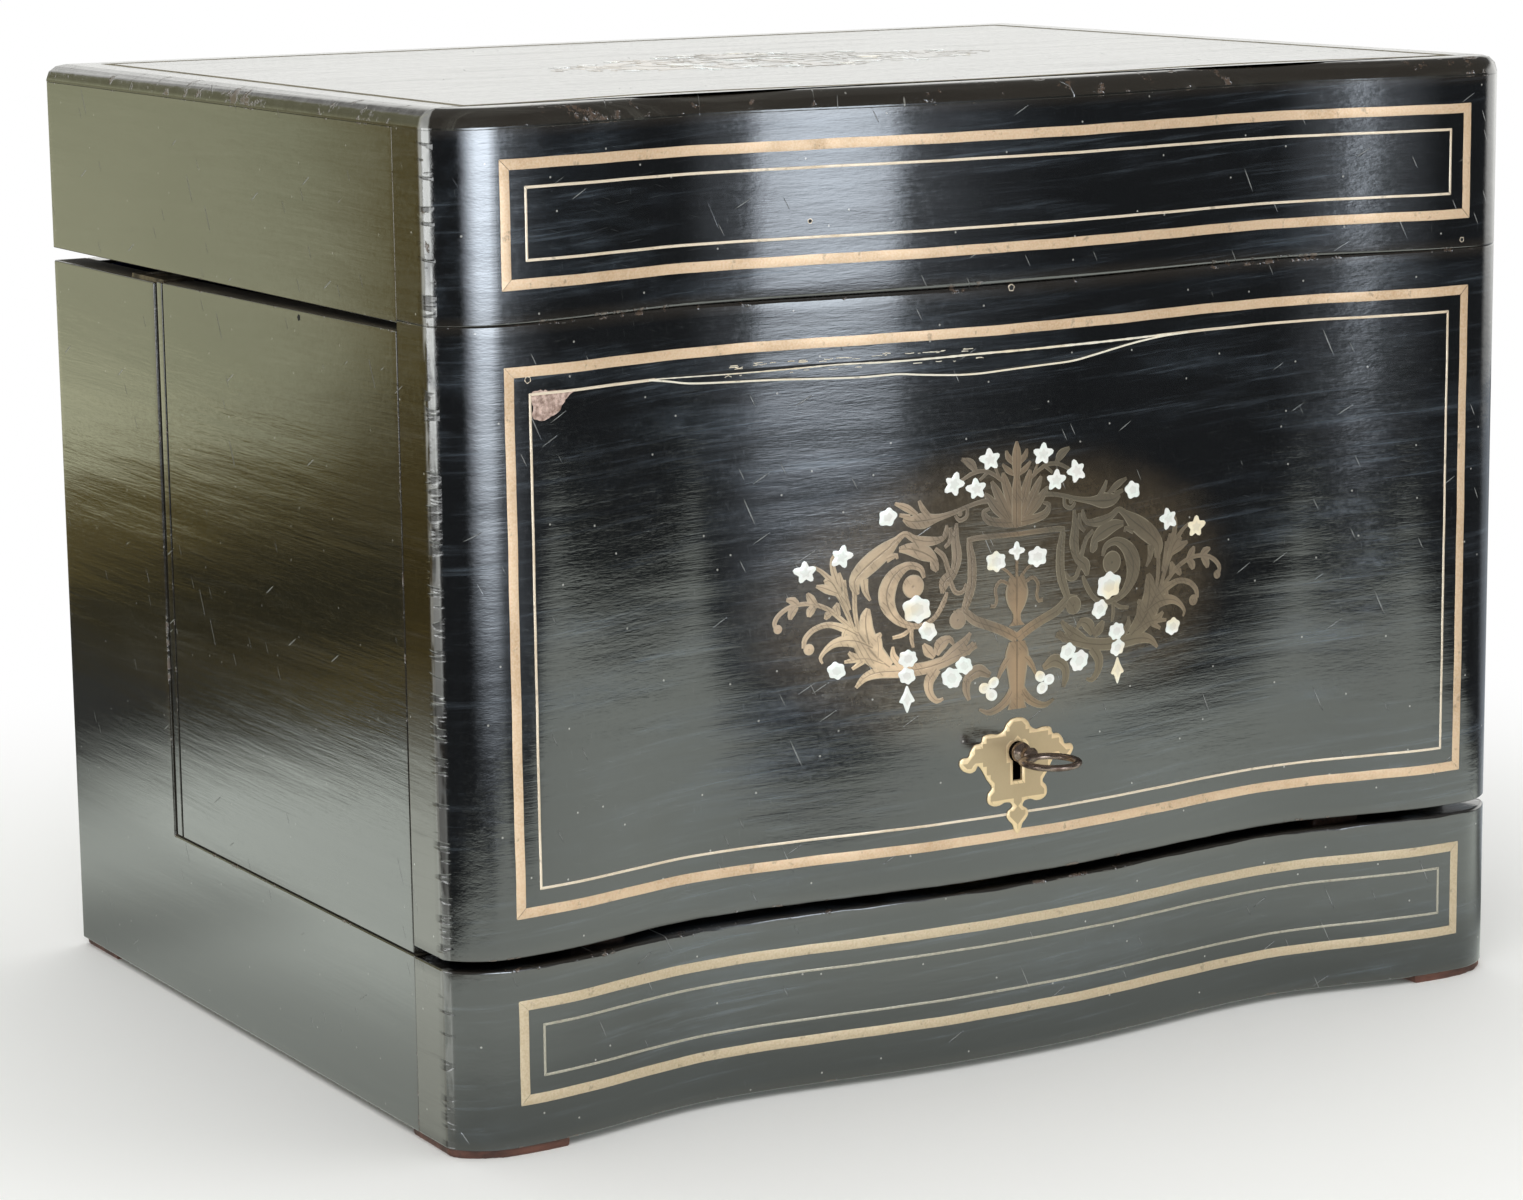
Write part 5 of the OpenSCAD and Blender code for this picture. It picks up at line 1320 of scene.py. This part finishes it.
@finished
def silk(base, shade):
    """Satin-woven silk: fine ribs of thread, slubs and a soft shine."""
    ribs = add("TexWave", {"Vector": place((1, 0.02, 1)), "Scale": 620.0, "Distortion": 0.4})
    slubs = noise(240.0, 3.0, 0.6, (0.15, 3.0, 1))
    colour = layered(base, (step(noise(14.0, 3.0, 0.6), 0.4, 0.7), shade),
                     (step(slubs, 0.6, 0.75, 0.0, 0.4), shade))
    return {
        "Base Color": colour, "Roughness": step(slubs, 0.3, 0.7, 0.34, 0.5), "Sheen Weight": 0.35,
        "Sheen Roughness": 0.3, "Normal": bump(ribs, 0.00012, 0.5, bump(slubs, 0.0001, 0.5))}


@finished
def leather(base, dark):
    """Thin hide: pebbled grain with darker pits."""
    cells = add("TexVoronoi", {"Vector": place(), "Scale": 1500.0})
    worn = noise(150.0, 3.0, 0.6)
    colour = layered(base, (step(cells, 0.2, 0.7), dark),
                     (step(worn, 0.55, 0.75, 0.0, 0.5), toned(base, 2)))
    return {"Base Color": colour, "Roughness": step(worn, 0.3, 0.7, 0.45, 0.7),
            "Normal": bump(cells, -0.0002, 0.6)}


@finished
def polished_wood(dark, pale):
    """Stained and polished hardwood: long figure, pores and a clear polish."""
    figure = noise(60.0, 5.0, 0.65, (0.12, 1, 1))
    pores = noise(900.0, 2.0, 0.6, (0.06, 1, 1))
    worn = step(noise(25.0, 3.0, 0.6), 0.5, 0.75)
    colour = layered(dark, (step(figure, 0.36, 0.66), pale),
                     (step(pores, 0.56, 0.66, 0.0, 0.7), toned(dark, 0.4)))
    return {"Base Color": colour, "Roughness": step(worn, 0.0, 1.0, 0.16, 0.34),
            "Coat Weight": 0.4, "Coat Roughness": 0.08, "Normal": bump(pores, -0.00006, 0.6)}


VELVET = velvet("blue_velvet", (0.010, 0.016, 0.085), (0.30, 0.38, 0.95))
SILK = silk("cream_silk", (0.60, 0.49, 0.34), (0.48, 0.37, 0.23))
LEATHER = leather("brown_leather", (0.10, 0.045, 0.022), (0.04, 0.018, 0.010))
OAK = raw_wood("bare_oak", (0.20, 0.12, 0.06), (0.42, 0.28, 0.15), 150.0, (0.08, 1, 1))
ROSEWOOD = polished_wood("caddy_rosewood", (0.020, 0.008, 0.005), (0.10, 0.034, 0.018))
AGED_BRASS = worn_metal("aged_brass", (0.42, 0.30, 0.13), (0.20, 0.13, 0.06), (0.3, 0.55))
SHADED_BRASS = worn_metal("dark_brass", (0.13, 0.10, 0.06), (0.05, 0.04, 0.025), (0.45, 0.7), 0.6)
POLISHED_BRASS = worn_metal("handled_brass", (0.78, 0.58, 0.28), (0.52, 0.36, 0.15), (0.16, 0.4))
SCREW_BRASS = worn_metal("screw_brass", (0.52, 0.38, 0.18), (0.22, 0.15, 0.07), (0.25, 0.5))
STEEL = worn_metal("spring_steel", (0.52, 0.52, 0.53), (0.22, 0.20, 0.18), (0.2, 0.5))


def dress(shader, soften, *nodes):
    """Gives kept CAD nodes their material and rounds their edges by soften."""
    for node in nodes:
        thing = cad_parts[node]
        for slot in thing.material_slots:
            slot.material = shader
        weld = thing.modifiers.new("weld", "WELD")
        weld.merge_threshold = 1e-6
        if soften:
            edges = thing.modifiers.new("edges", "BEVEL")
            edges.width, edges.segments, edges.limit_method = soften, 2, "ANGLE"
            edges.angle_limit = math.radians(50)


dress(OAK, 0.3 * MM, "bottom_board", "glue_blocks")
dress(AGED_BRASS, 0.12 * MM, "strike_plate", "case_hinge_leaves", "lid_hinge_leaves",
      "corner_straps", "lock_cap", "lock_case", "lock_bolt")
# The pivot plates sit in the shadowed gap at the doors' tops: their darker brass is painted shade. The
# hinge and door pins use the same darkened brass.
dress(SHADED_BRASS, 0.12 * MM, "pivot_plates")
dress(SHADED_BRASS, 0.0, "hinge_pins", "door_pins")
dress(SCREW_BRASS, 0.0, "case_screws", "lid_screws")
dress(STEEL, 0.0, "lock_pin", "lock_spring")
dress(ROSEWOOD, 0.5 * MM, "caddy_deck", "caddy_tray", "tray_dividers")

# ---- Linings, pad and ring rolls ----


def soft_panel(name, node, axis, out, height, body, slot, shader, pitch=6 * MM):
    """Closed panel in a node's box: flat at its back, with the front that faces out
    raised by height(u, v, width, length), in metres, from the back."""
    low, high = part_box(node)
    first, second, along = AXES[axis]
    counts = [max(int((high[k] - low[k]) / pitch), 4) for k in (first, second)]
    spans = [high[k] - low[k] for k in (first, second)]
    u, v = np.meshgrid(*(np.concatenate([[0, 0.004], np.linspace(0.012, 0.988, n), [0.996, 1]])
                         for n in counts), indexing="ij")
    rows, columns = u.shape
    base = low[along] if out > 0 else high[along]
    top = base + out * height(u * spans[0], v * spans[1], *spans)
    points = np.zeros((2, rows, columns, 3))
    points[..., first], points[..., second] = low[first] + u * spans[0], low[second] + v * spans[1]
    points[0, ..., along], points[1, ..., along] = top, base
    index = np.arange(rows * columns).reshape(rows, columns)
    faces = [(index[i, j], index[i + 1, j], index[i + 1, j + 1], index[i, j + 1])
             for i in range(rows - 1) for j in range(columns - 1)]
    rim = list(index[:, 0]) + list(index[-1, 1:]) + list(index[-2::-1, -1]) + list(index[0, -2:0:-1])
    size = rows * columns
    faces += [(a, b, b + size, a + size) for a, b in zip(rim, rim[1:] + rim[:1])]
    faces.append(tuple(i + size for i in rim))
    keep = sorted({int(i) for f in faces for i in f})
    order = {old: new for new, old in enumerate(keep)}
    made = mesh_piece(name, points.reshape(-1, 3)[keep], [tuple(order[int(i)] for i in f) for f in faces],
                      body, slot, shader, node, sharp=70)
    return made, spans


def rolled_edge(u, v, width, length, reach):
    """Distance from the nearest edge, its share of reach, and a quarter round over that."""
    edge = np.minimum(np.minimum(u, width - u), np.minimum(v, length - v))
    share = np.clip(edge / reach, 0, 1)
    return edge, share, np.sqrt(share * (2 - share))


def stretched_cloth(thickness, seed):
    """Cloth pulled over card: edges rolled over, and faint slack between them."""
    phase = np.random.default_rng(seed).random(4) * 6.28

    def height(u, v, width, length):
        _, share, rounded = rolled_edge(u, v, width, length, 2 * thickness)
        slack = np.sin(u * 70 + phase[0]) * np.sin(v * 55 + phase[1]) + np.sin((u + v) * 120 + phase[2])
        return thickness * (0.35 + 0.5 * rounded + 0.07 * slack * share)

    return height


for seed, (name, node, axis, out, body, under) in enumerate((
        ("floor_velvet", "floor_lining", "z", 1, "case", "bottom_board"),
        ("back_velvet", "back_lining", "y", -1, "case", "back_panel"),
        ("front_velvet", "front_lining", "y", 1, "lid", "front_panel_board"),
        ("door_left_velvet", "door_left_lining", "x", 1, "left_door", "door_left_board"),
        ("door_right_velvet", "door_right_lining", "x", -1, "right_door", "door_right_board"),
        ("deck_velvet", "deck_lining", "z", 1, "caddy", "caddy_deck"),
        ("tray_velvet", "tray_lining", "z", 1, "caddy", "caddy_tray"))):
    made, spans = soft_panel(name, node, axis, out, stretched_cloth(1 * MM, seed), body, "velvet", VELVET)

# Tufts of the lid pad: half the distance between buttons across and along, their depth,
# and the width of the plain border round them.
TUFT_X, TUFT_Y, TUFT_DEPTH, TUFT_BORDER = 25.8 * MM, 26.8 * MM, 8 * MM, 9 * MM


def tufted(u, v, width, length):
    """Diamonds puffed up between buttons, and a plain rolled border."""
    a, b = (u - width / 2) / TUFT_X, (v - length / 2) / TUFT_Y
    crease = np.abs(np.sin(math.pi * (a + b) / 2) * np.sin(math.pi * (a - b) / 2))
    near_a, near_b = np.round(a), np.round(b)
    odd = (near_a + near_b) % 2 == 1
    step_a = np.where(np.abs(a - near_a) > np.abs(b - near_b), np.sign(a - near_a), 0)
    step_b = np.where(step_a == 0, np.sign(b - near_b), 0)
    near_a, near_b = near_a + np.where(odd, step_a, 0), near_b + np.where(odd, step_b, 0)
    away = np.hypot((a - near_a) * TUFT_X, (b - near_b) * TUFT_Y)
    edge, _, rounded = rolled_edge(u, v, width, length, 7 * MM)
    puff = 0.5 + 0.5 * crease**0.45
    puff = np.where(edge < TUFT_BORDER, np.maximum(puff, 0.88), puff)
    dip = 1 - 0.62 * np.exp(-((away / (5 * MM)) ** 2)) * (edge > TUFT_BORDER)
    return TUFT_DEPTH * (0.2 + 0.78 * rounded * puff * dip)


def make_lid_pad():
    """Buttoned silk pad under the lid's top, and its covered buttons."""
    made, _ = soft_panel("tufted_silk_pad", "lid_pad", "z", -1, tufted, "lid", "padded_silk", SILK,
                         2.6 * MM)
    low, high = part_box("lid_pad")
    middle = [(low[k] + high[k]) / 2 for k in (0, 1)]
    profile = [(0.0, 3.2), (0.9, 3.4), (1.7, 2.8), (2.2, 1.6), (2.4, 0.3)]
    parts = [lathe(profile, 16, (middle[0] + i * TUFT_X, middle[1] + j * TUFT_Y, high.z - 2.4 * MM),
                   UPRIGHT, -1)
             for i in range(-5, 6) for j in range(-3, 4) if (i + j) % 2 == 0]
    mesh_piece("pad_buttons", *joined(parts), "lid", "padded_silk", SILK, sharp=60)


def make_ring_rolls():
    """Velvet rolls that grip rings between them, gathered at their ends."""
    low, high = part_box("ring_rolls")
    radius = (high.z - low.z) / 2
    count = round((high.y - low.y + MM) / (2 * radius + MM))
    rng = np.random.default_rng(14)
    for k in range(count):
        y = low.y + radius + k * (2 * radius + MM)
        along = np.linspace(0, 1, 60)
        edge = np.minimum(along, 1 - along) * (high.x - low.x) / radius
        ends = np.sqrt(np.clip(edge * (1.2 - 0.36 * edge), 0, 1) * 0.92 + 0.08)
        ends = np.where(edge < 1.2, ends, 1.0)
        puckers = 1 - 0.02 * np.abs(np.sin(along * 26 + rng.uniform(0, 6)))
        angles = np.linspace(0, 2 * math.pi, 28, endpoint=False)
        gather = 1 - 0.06 * np.clip(1 - edge[:, None], 0, 1) * (1 + np.cos(14 * angles))
        size = radius * 0.985 * (ends * puckers)[:, None] * gather
        x = np.broadcast_to(low.x + along[:, None] * (high.x - low.x), size.shape)
        points = np.stack([x, y + size * np.cos(angles),
                           np.maximum(low.z + radius + size * np.sin(angles), low.z + 0.3 * MM)], -1)
        made = mesh_piece(f"ring_roll_{k + 1}", points.reshape(-1, 3), skin_faces(60, 28), "caddy",
                          "velvet", VELVET, "ring_rolls", sharp=80)


def make_buffers():
    """Leather pads that the closed front panel rests on."""
    low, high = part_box("lid_buffers")
    width = 16 * MM
    for word, left in (("left", low.x), ("right", high.x - width)):
        made = plank(f"leather_buffer_{word}", (left, low.y, low.z), (left + width, high.y, high.z),
                     "case", "leather", LEATHER, "lid_buffers", 0.8 * MM)


make_lid_pad()
make_ring_rolls()
make_buffers()

# ---- Turned and bent metal inside ----


def make_columns():
    """Four turned brass columns between the caddy's deck and its tray."""
    low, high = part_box("caddy_columns")
    tall, ring = (high.z - low.z) / MM, 5 * MM
    profile = [(0, 5), (1.2, 5), (1.8, 4.4), (2.6, 4.6), (3, 3.4), (4, 2.6), (7, 2.3), (tall * 0.28, 2.9),
               (tall * 0.42, 2.3), (tall / 2 - 2, 2.5), (tall / 2 - 1.4, 3.9), (tall / 2, 4.2)]
    profile += [(tall - y, r) for y, r in profile[-2::-1]]
    parts = [lathe(profile, 32, (x, y, low.z), UPRIGHT) for x in (low.x + ring, high.x - ring)
             for y in (low.y + ring, high.y - ring)]
    mesh_piece("turned_columns", *joined(parts), "caddy", "brass_fittings", POLISHED_BRASS,
               "caddy_columns", sharp=35)


def make_handle():
    """Turned grip on two posts."""
    low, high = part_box("caddy_handle")
    y, grip_z, half = (low.y + high.y) / 2, high.z - 3 * MM, (high.x - low.x) / 2 / MM
    grip = [(-half, 0.6), (-half + 0.8, 2.2), (-half + 2, 2.8), (-half + 3.4, 2.0), (-half + 4.2, 1.8),
            (-half + 5, 2.9), (-half + 7, 2.9), (-half + 8, 2.0), (-22, 2.7), (-6, 2.9), (0, 2.5)]
    grip += [(-x, r) for x, r in grip[-2::-1]]
    parts = [lathe(grip, 28, (0, y, grip_z), (1, 0, 2))]
    rise = (grip_z - low.z) / MM
    post = [(0, 4.1), (0.9, 4.1), (1.6, 3.2), (2.4, 2.2), (5, 1.7), (rise * 0.5, 2.2), (rise - 5, 1.7),
            (rise - 3, 2.2), (rise, 2.0)]
    parts += [lathe(post, 28, (x, y, low.z), UPRIGHT) for x in (low.x + 5 * MM, high.x - 5 * MM)]
    mesh_piece("turned_handle", *joined(parts), "caddy", "brass_fittings", POLISHED_BRASS,
               "caddy_handle", sharp=40)


# Thickness of a hook at its points, from the root to the ball at its tip.
HOOK_RADIUS = 0.95 * MM
HOOK_TAPER = (1, 1, 0.9, 0.85, 0.8, 0.75, 0.8, 1, 0.8, 0.3)


def make_hooks():
    """Necklace hooks bent up from a screwed-in stem, with a small ball at the tip."""
    for word, sign in (("left", -1), ("right", 1)):
        low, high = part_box(f"door_{word}_hooks")
        parts = []
        wall, tip = sign * INNER_X, sign * (INNER_X - 5 * MM)
        for y in (low.y + MM, (low.y + high.y) / 2, high.y - MM):
            stem = low.z + MM
            line = [(wall + sign * 4 * MM, y, stem), (wall, y, stem), (wall - sign * 3 * MM, y, stem),
                    (tip + sign * 0.5 * MM, y, stem + 0.3 * MM)]
            line += [(tip, y, stem + rise * MM) for rise in (1.6, 2.8, 3.6, 4.2, 4.6, 4.9)]
            parts.append(tube(line, np.array(HOOK_TAPER) * HOOK_RADIUS, 12))
            parts.append(tube([(wall, y, stem), (wall - sign * 0.7 * MM, y, stem)], 2 * MM, 16))
        mesh_piece(f"necklace_hooks_{word}", *joined(parts), f"{word}_door", "brass_fittings",
                   POLISHED_BRASS, f"door_{word}_hooks", sharp=50)


make_columns()
make_handle()
make_hooks()

# ---- Camera ----

camera_data = bpy.data.cameras.new("camera")
camera_data.sensor_width = 36
camera_data.lens = 99.96
camera = new_object("camera", camera_data)
CAMERA_AT = Vector((-0.60924, -1.01322, 0.32803))
AZIMUTH, ELEVATION, ROLL = (math.radians(a) for a in (-30.62, 10.60, -0.724))
ahead = Vector((-math.sin(AZIMUTH) * math.cos(ELEVATION), math.cos(AZIMUTH) * math.cos(ELEVATION),
                -math.sin(ELEVATION)))
level = ahead.cross(Vector((0, 0, 1))).normalized()
upright = level.cross(ahead)
right = math.cos(ROLL) * level + math.sin(ROLL) * upright
up = math.cos(ROLL) * upright - math.sin(ROLL) * level
camera.matrix_world = Matrix.Translation(CAMERA_AT) @ Matrix((right, up, -ahead)).transposed().to_4x4()
bpy.context.scene.camera = camera
bpy.context.scene.view_settings.view_transform = "Standard"

# ---- Studio ----
# The polish mirrors a room made of cards that nothing else sees.

TABLE_CARD_Z = 0.5 * MM


def stage_mesh(name, points, faces, shader):
    mesh = bpy.data.meshes.new(name)
    mesh.from_pydata(points, [], faces)
    mesh.materials.append(shader)
    made = new_object(name, mesh)
    made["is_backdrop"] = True
    return made


def level_square(half, z):
    return [(-half, -half, z), (half, -half, z), (half, half, z), (-half, half, z)], [(0, 1, 2, 3)]


def round_wall(radius, first, last, count, tall):
    """Upright strip between two bearings, in degrees from the front toward the right."""
    angles = np.radians(np.linspace(first, last, count))
    points = [(radius * math.sin(a), -radius * math.cos(a), z) for z in (0.0, tall) for a in angles]
    return points, [(i, i + 1, count + i + 1, count + i) for i in range(count - 1)]


def make_card(name, paint, points, faces):
    """A glowing surface seen only in the polish; paint gives its colour."""
    made, shader = material(name)
    made.node_tree.nodes.remove(shader)
    connect(made.node_tree.nodes["Material Output"], {"Surface": add("Emission", {"Color": paint()})})
    card = stage_mesh(name, points, faces, made)
    for ray in ("camera", "diffuse", "shadow", "transmission", "volume_scatter"):
        setattr(card, f"visible_{ray}", False)


def make_floor():
    """Pale floor: it keeps the shadow near the object and fades to white in the distance."""
    made, shader = material("pale_floor")
    connect(shader, {"Base Color": (0.93, 0.93, 0.92), "Roughness": 0.9, "Specular IOR Level": 0.1})
    far = step(measured("LENGTH", place()), 0.24, 0.50) * add("LightPath")["Is Camera Ray"]
    white = add("Emission", {"Color": (1, 1, 1), "Strength": 1.0})
    connect(made.node_tree.nodes["Material Output"], {
        "Surface": add("MixShader", {0: far, 1: Value(shader.outputs[0]), 2: white})})
    stage_mesh("floor", *level_square(12.0, 0), made).visible_glossy = False


def polar():
    """Bearing from the front toward the right (radians), distance and height of a point."""
    here = split(place())
    return (maths("ARCTAN2", here[0], here[1] * -1.0), measured("LENGTH", place((1, 1, 0))), here[2])


def bearing(angle, low, high, *to):
    """Step between two bearings in degrees."""
    return step(angle, math.radians(low), math.radians(high), *to)


def window_glow(angle, blur=0.7):
    """How strongly each direction sees the window: soft on its left, and on its right
    over twice the blur, in degrees."""
    left = bearing(angle, -40, -8)
    right = bearing(angle, 17.4 + blur, 17.4 - blur)
    return most(left * right * bearing(angle, 16, 4, 0.55, 1.0), left * bearing(angle, 36, 14, 0.0, 0.06))


def table_colour():
    """What the polish sees of the floor: a pale sheet under the object, darker ground
    beyond it and the window's glare."""
    here = split(place())
    angle, distance, _ = polar()
    uneven = (noise(6.0, 2.0) - 0.5) * 0.12
    x, y = here[0] + uneven, here[1] + uneven
    near = measured("DOT_PRODUCT", place(), (-0.5, -0.866, 0)) + uneven
    skew = measured("DOT_PRODUCT", place(), (-0.735, -0.678, 0))
    cut_off = step(skew, 0.25, 0.285) * step(x, -0.05, 0.03)
    sheet = (step(near, 0.50, 0.40) * step(x, -0.40, -0.30) * step(x, 0.47, 0.35) * step(y, 0.42, 0.22)
             * step(cut_off, 0.0, 1.0, 1.0, 0.0))
    side = most(maths("ABSOLUTE", here[0]) - HALF_W, 0.0)
    front = most(maths("ABSOLUTE", here[1]) - 0.12, 0.0)
    away = maths("SQRT", maths("POWER", side, 2.0) + maths("POWER", front, 2.0))
    behind_right = step(here[0], 0.15, 0.22) * step(here[1], -0.17, -0.06)
    left_shine = step(here[0], -0.15, -0.25) * step(here[1], -0.1, 0.1)
    left_foot = step(here[0], -0.27, -0.22) * step(here[1], 0.06, 0.18)
    shade = step(away, 0.0, 0.12, 0.5, 1.0)
    for region, tone in ((behind_right, 0.12), (left_shine, 1.3), (left_foot, 0.6)):
        shade = shade * step(region, 0.0, 1.0, 1.0, tone)
    glare = (window_glow(angle + uneven * 1.6, 5.5) * step(distance, 0.5, 1.45, kind="LINEAR") * 4.6
             * bearing(angle, 12, -4, 0.38, 1.0))
    glare = glare + bearing(angle, 72, 88) * bearing(angle, 125, 106) * 0.32
    olive = step(here[0], -0.3, -0.4) * step(here[1], 0.3, 0.45)
    ground = mix(olive, (0.06, 0.066, 0.072), (0.30, 0.23, 0.07))
    ground = mix(step(noise(7.0, 2.0), 0.35, 0.65, 0.25, 1.3), (0.03, 0.03, 0.03), ground)
    hollow = step(measured("DISTANCE", place(), (-0.48, 0.6, 0)), 0.2, 0.07, 0.0, 0.9)
    far_left = step(here[1], 0.92, 1.08) * step(here[0], -0.2, -0.4)
    colour = layered(ground, (hollow, (0.01, 0.01, 0.005)), (far_left, (1.2, 1.2, 0.8)),
                     (sheet * shade, (1.32, 1.42, 1.30)))
    glow = add("Mix", {0: glare, 6: (0, 0, 0), 7: (0.95, 1.05, 1.17)}, data_type="RGBA",
               clamp_factor=False)[2]
    return add("Mix", {0: 1.0, 6: colour, 7: glow}, data_type="RGBA", blend_type="ADD")[2]


def window_colour():
    """A dark room with one tall, soft window in front and a paler doorway on the right."""
    angle, _, height = polar()
    window = window_glow(angle) * step(height, 0.0, 0.18, 0.38, 1.0, "LINEAR")
    doorway = (bearing(angle, 68, 82) * bearing(angle, 150, 104)
               * step(height, 0.0, 0.17, 0.45, 1.0, "LINEAR"))
    room = layered((0.05, 0.055, 0.06), (window, (9.0, 9.9, 11.0)), (doorway, (1.6, 1.6, 1.55)))
    return mix(step(height, 0.75, 0.5), (0.10, 0.10, 0.10), room)


def corner_colour():
    """Bright strip on the left that only the sharp front corner catches."""
    angle, _, height = polar()
    glow = bearing(angle, -71, -77) * bearing(angle, -124, -112) * step(height, 0.0, 0.08, 0.4, 1.0)
    return mix(glow, (0.05, 0.05, 0.05), (3.4, 3.5, 3.5))


def room_colour():
    """What the polish sees behind the left side: a pale greenish wall, dark at one end."""
    here = split(place())
    wall = mix(step(noise(4.0, 2.0), 0.35, 0.7), (0.72, 0.74, 0.47), (1.0, 1.0, 0.68))
    wall = mix(step(here[1], 0.90, 1.03), (0.34, 0.28, 0.11), wall)
    low = step(here[2], 0.06, 0.0) * step(here[1], 1.03, 0.93)
    wall = mix(low, wall, (0.08, 0.07, 0.04))
    return mix(step(here[2], 0.38, 0.55), wall, (0.36, 0.36, 0.22))


def make_lamp(name, at, size, watts):
    data = bpy.data.lights.new(name, "AREA")
    data.energy, data.size = watts, size
    lamp = new_object(name, data)
    lamp.location = at
    lamp.rotation_euler = (Vector((0, 0, 0.1)) - Vector(at)).to_track_quat("-Z", "Y").to_euler()
    lamp.visible_glossy = False


def make_world():
    """White all round for the camera. The polish sees it white low down and dark above,
    and it lights the object evenly."""
    world = bpy.data.worlds.new("world")
    bpy.context.scene.world = world
    world.use_nodes = True
    Value.tree = world.node_tree
    path, height = add("LightPath"), split(add("TexCoord")["Generated"])[2]
    glossy = path["Is Glossy Ray"] * step(height, 0.30, 0.50, 1.0, 0.16)
    seen = most(path["Is Camera Ray"], path["Is Transmission Ray"])
    lit = most(path["Is Diffuse Ray"], path["Is Shadow Ray"]) * 0.62
    connect(world.node_tree.nodes["Background"], {
        "Color": (1.0, 1.0, 0.97), "Strength": most(seen, glossy, lit)})


make_floor()
make_card("table_card", table_colour, *level_square(4.0, TABLE_CARD_Z))
make_card("window_card", window_colour, *round_wall(1.4, -82, 128, 76, 2.4))
make_card("corner_card", corner_colour, *round_wall(1.2, -125, -70, 12, 0.5))
make_card("room_card", room_colour,
          [(-0.65, 0.5, 0.0), (-0.65, 2.4, 0.0), (-0.65, 2.4, 1.6), (-0.65, 0.5, 1.6)], [(0, 1, 2, 3)])
make_world()
make_lamp("key", (-1.4, -1.6, 1.8), 1.6, 22)
make_lamp("fill", (1.8, -1.2, 1.2), 1.6, 8)
make_lamp("top", (0.2, 0.6, 2.2), 1.8, 14)

low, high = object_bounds()
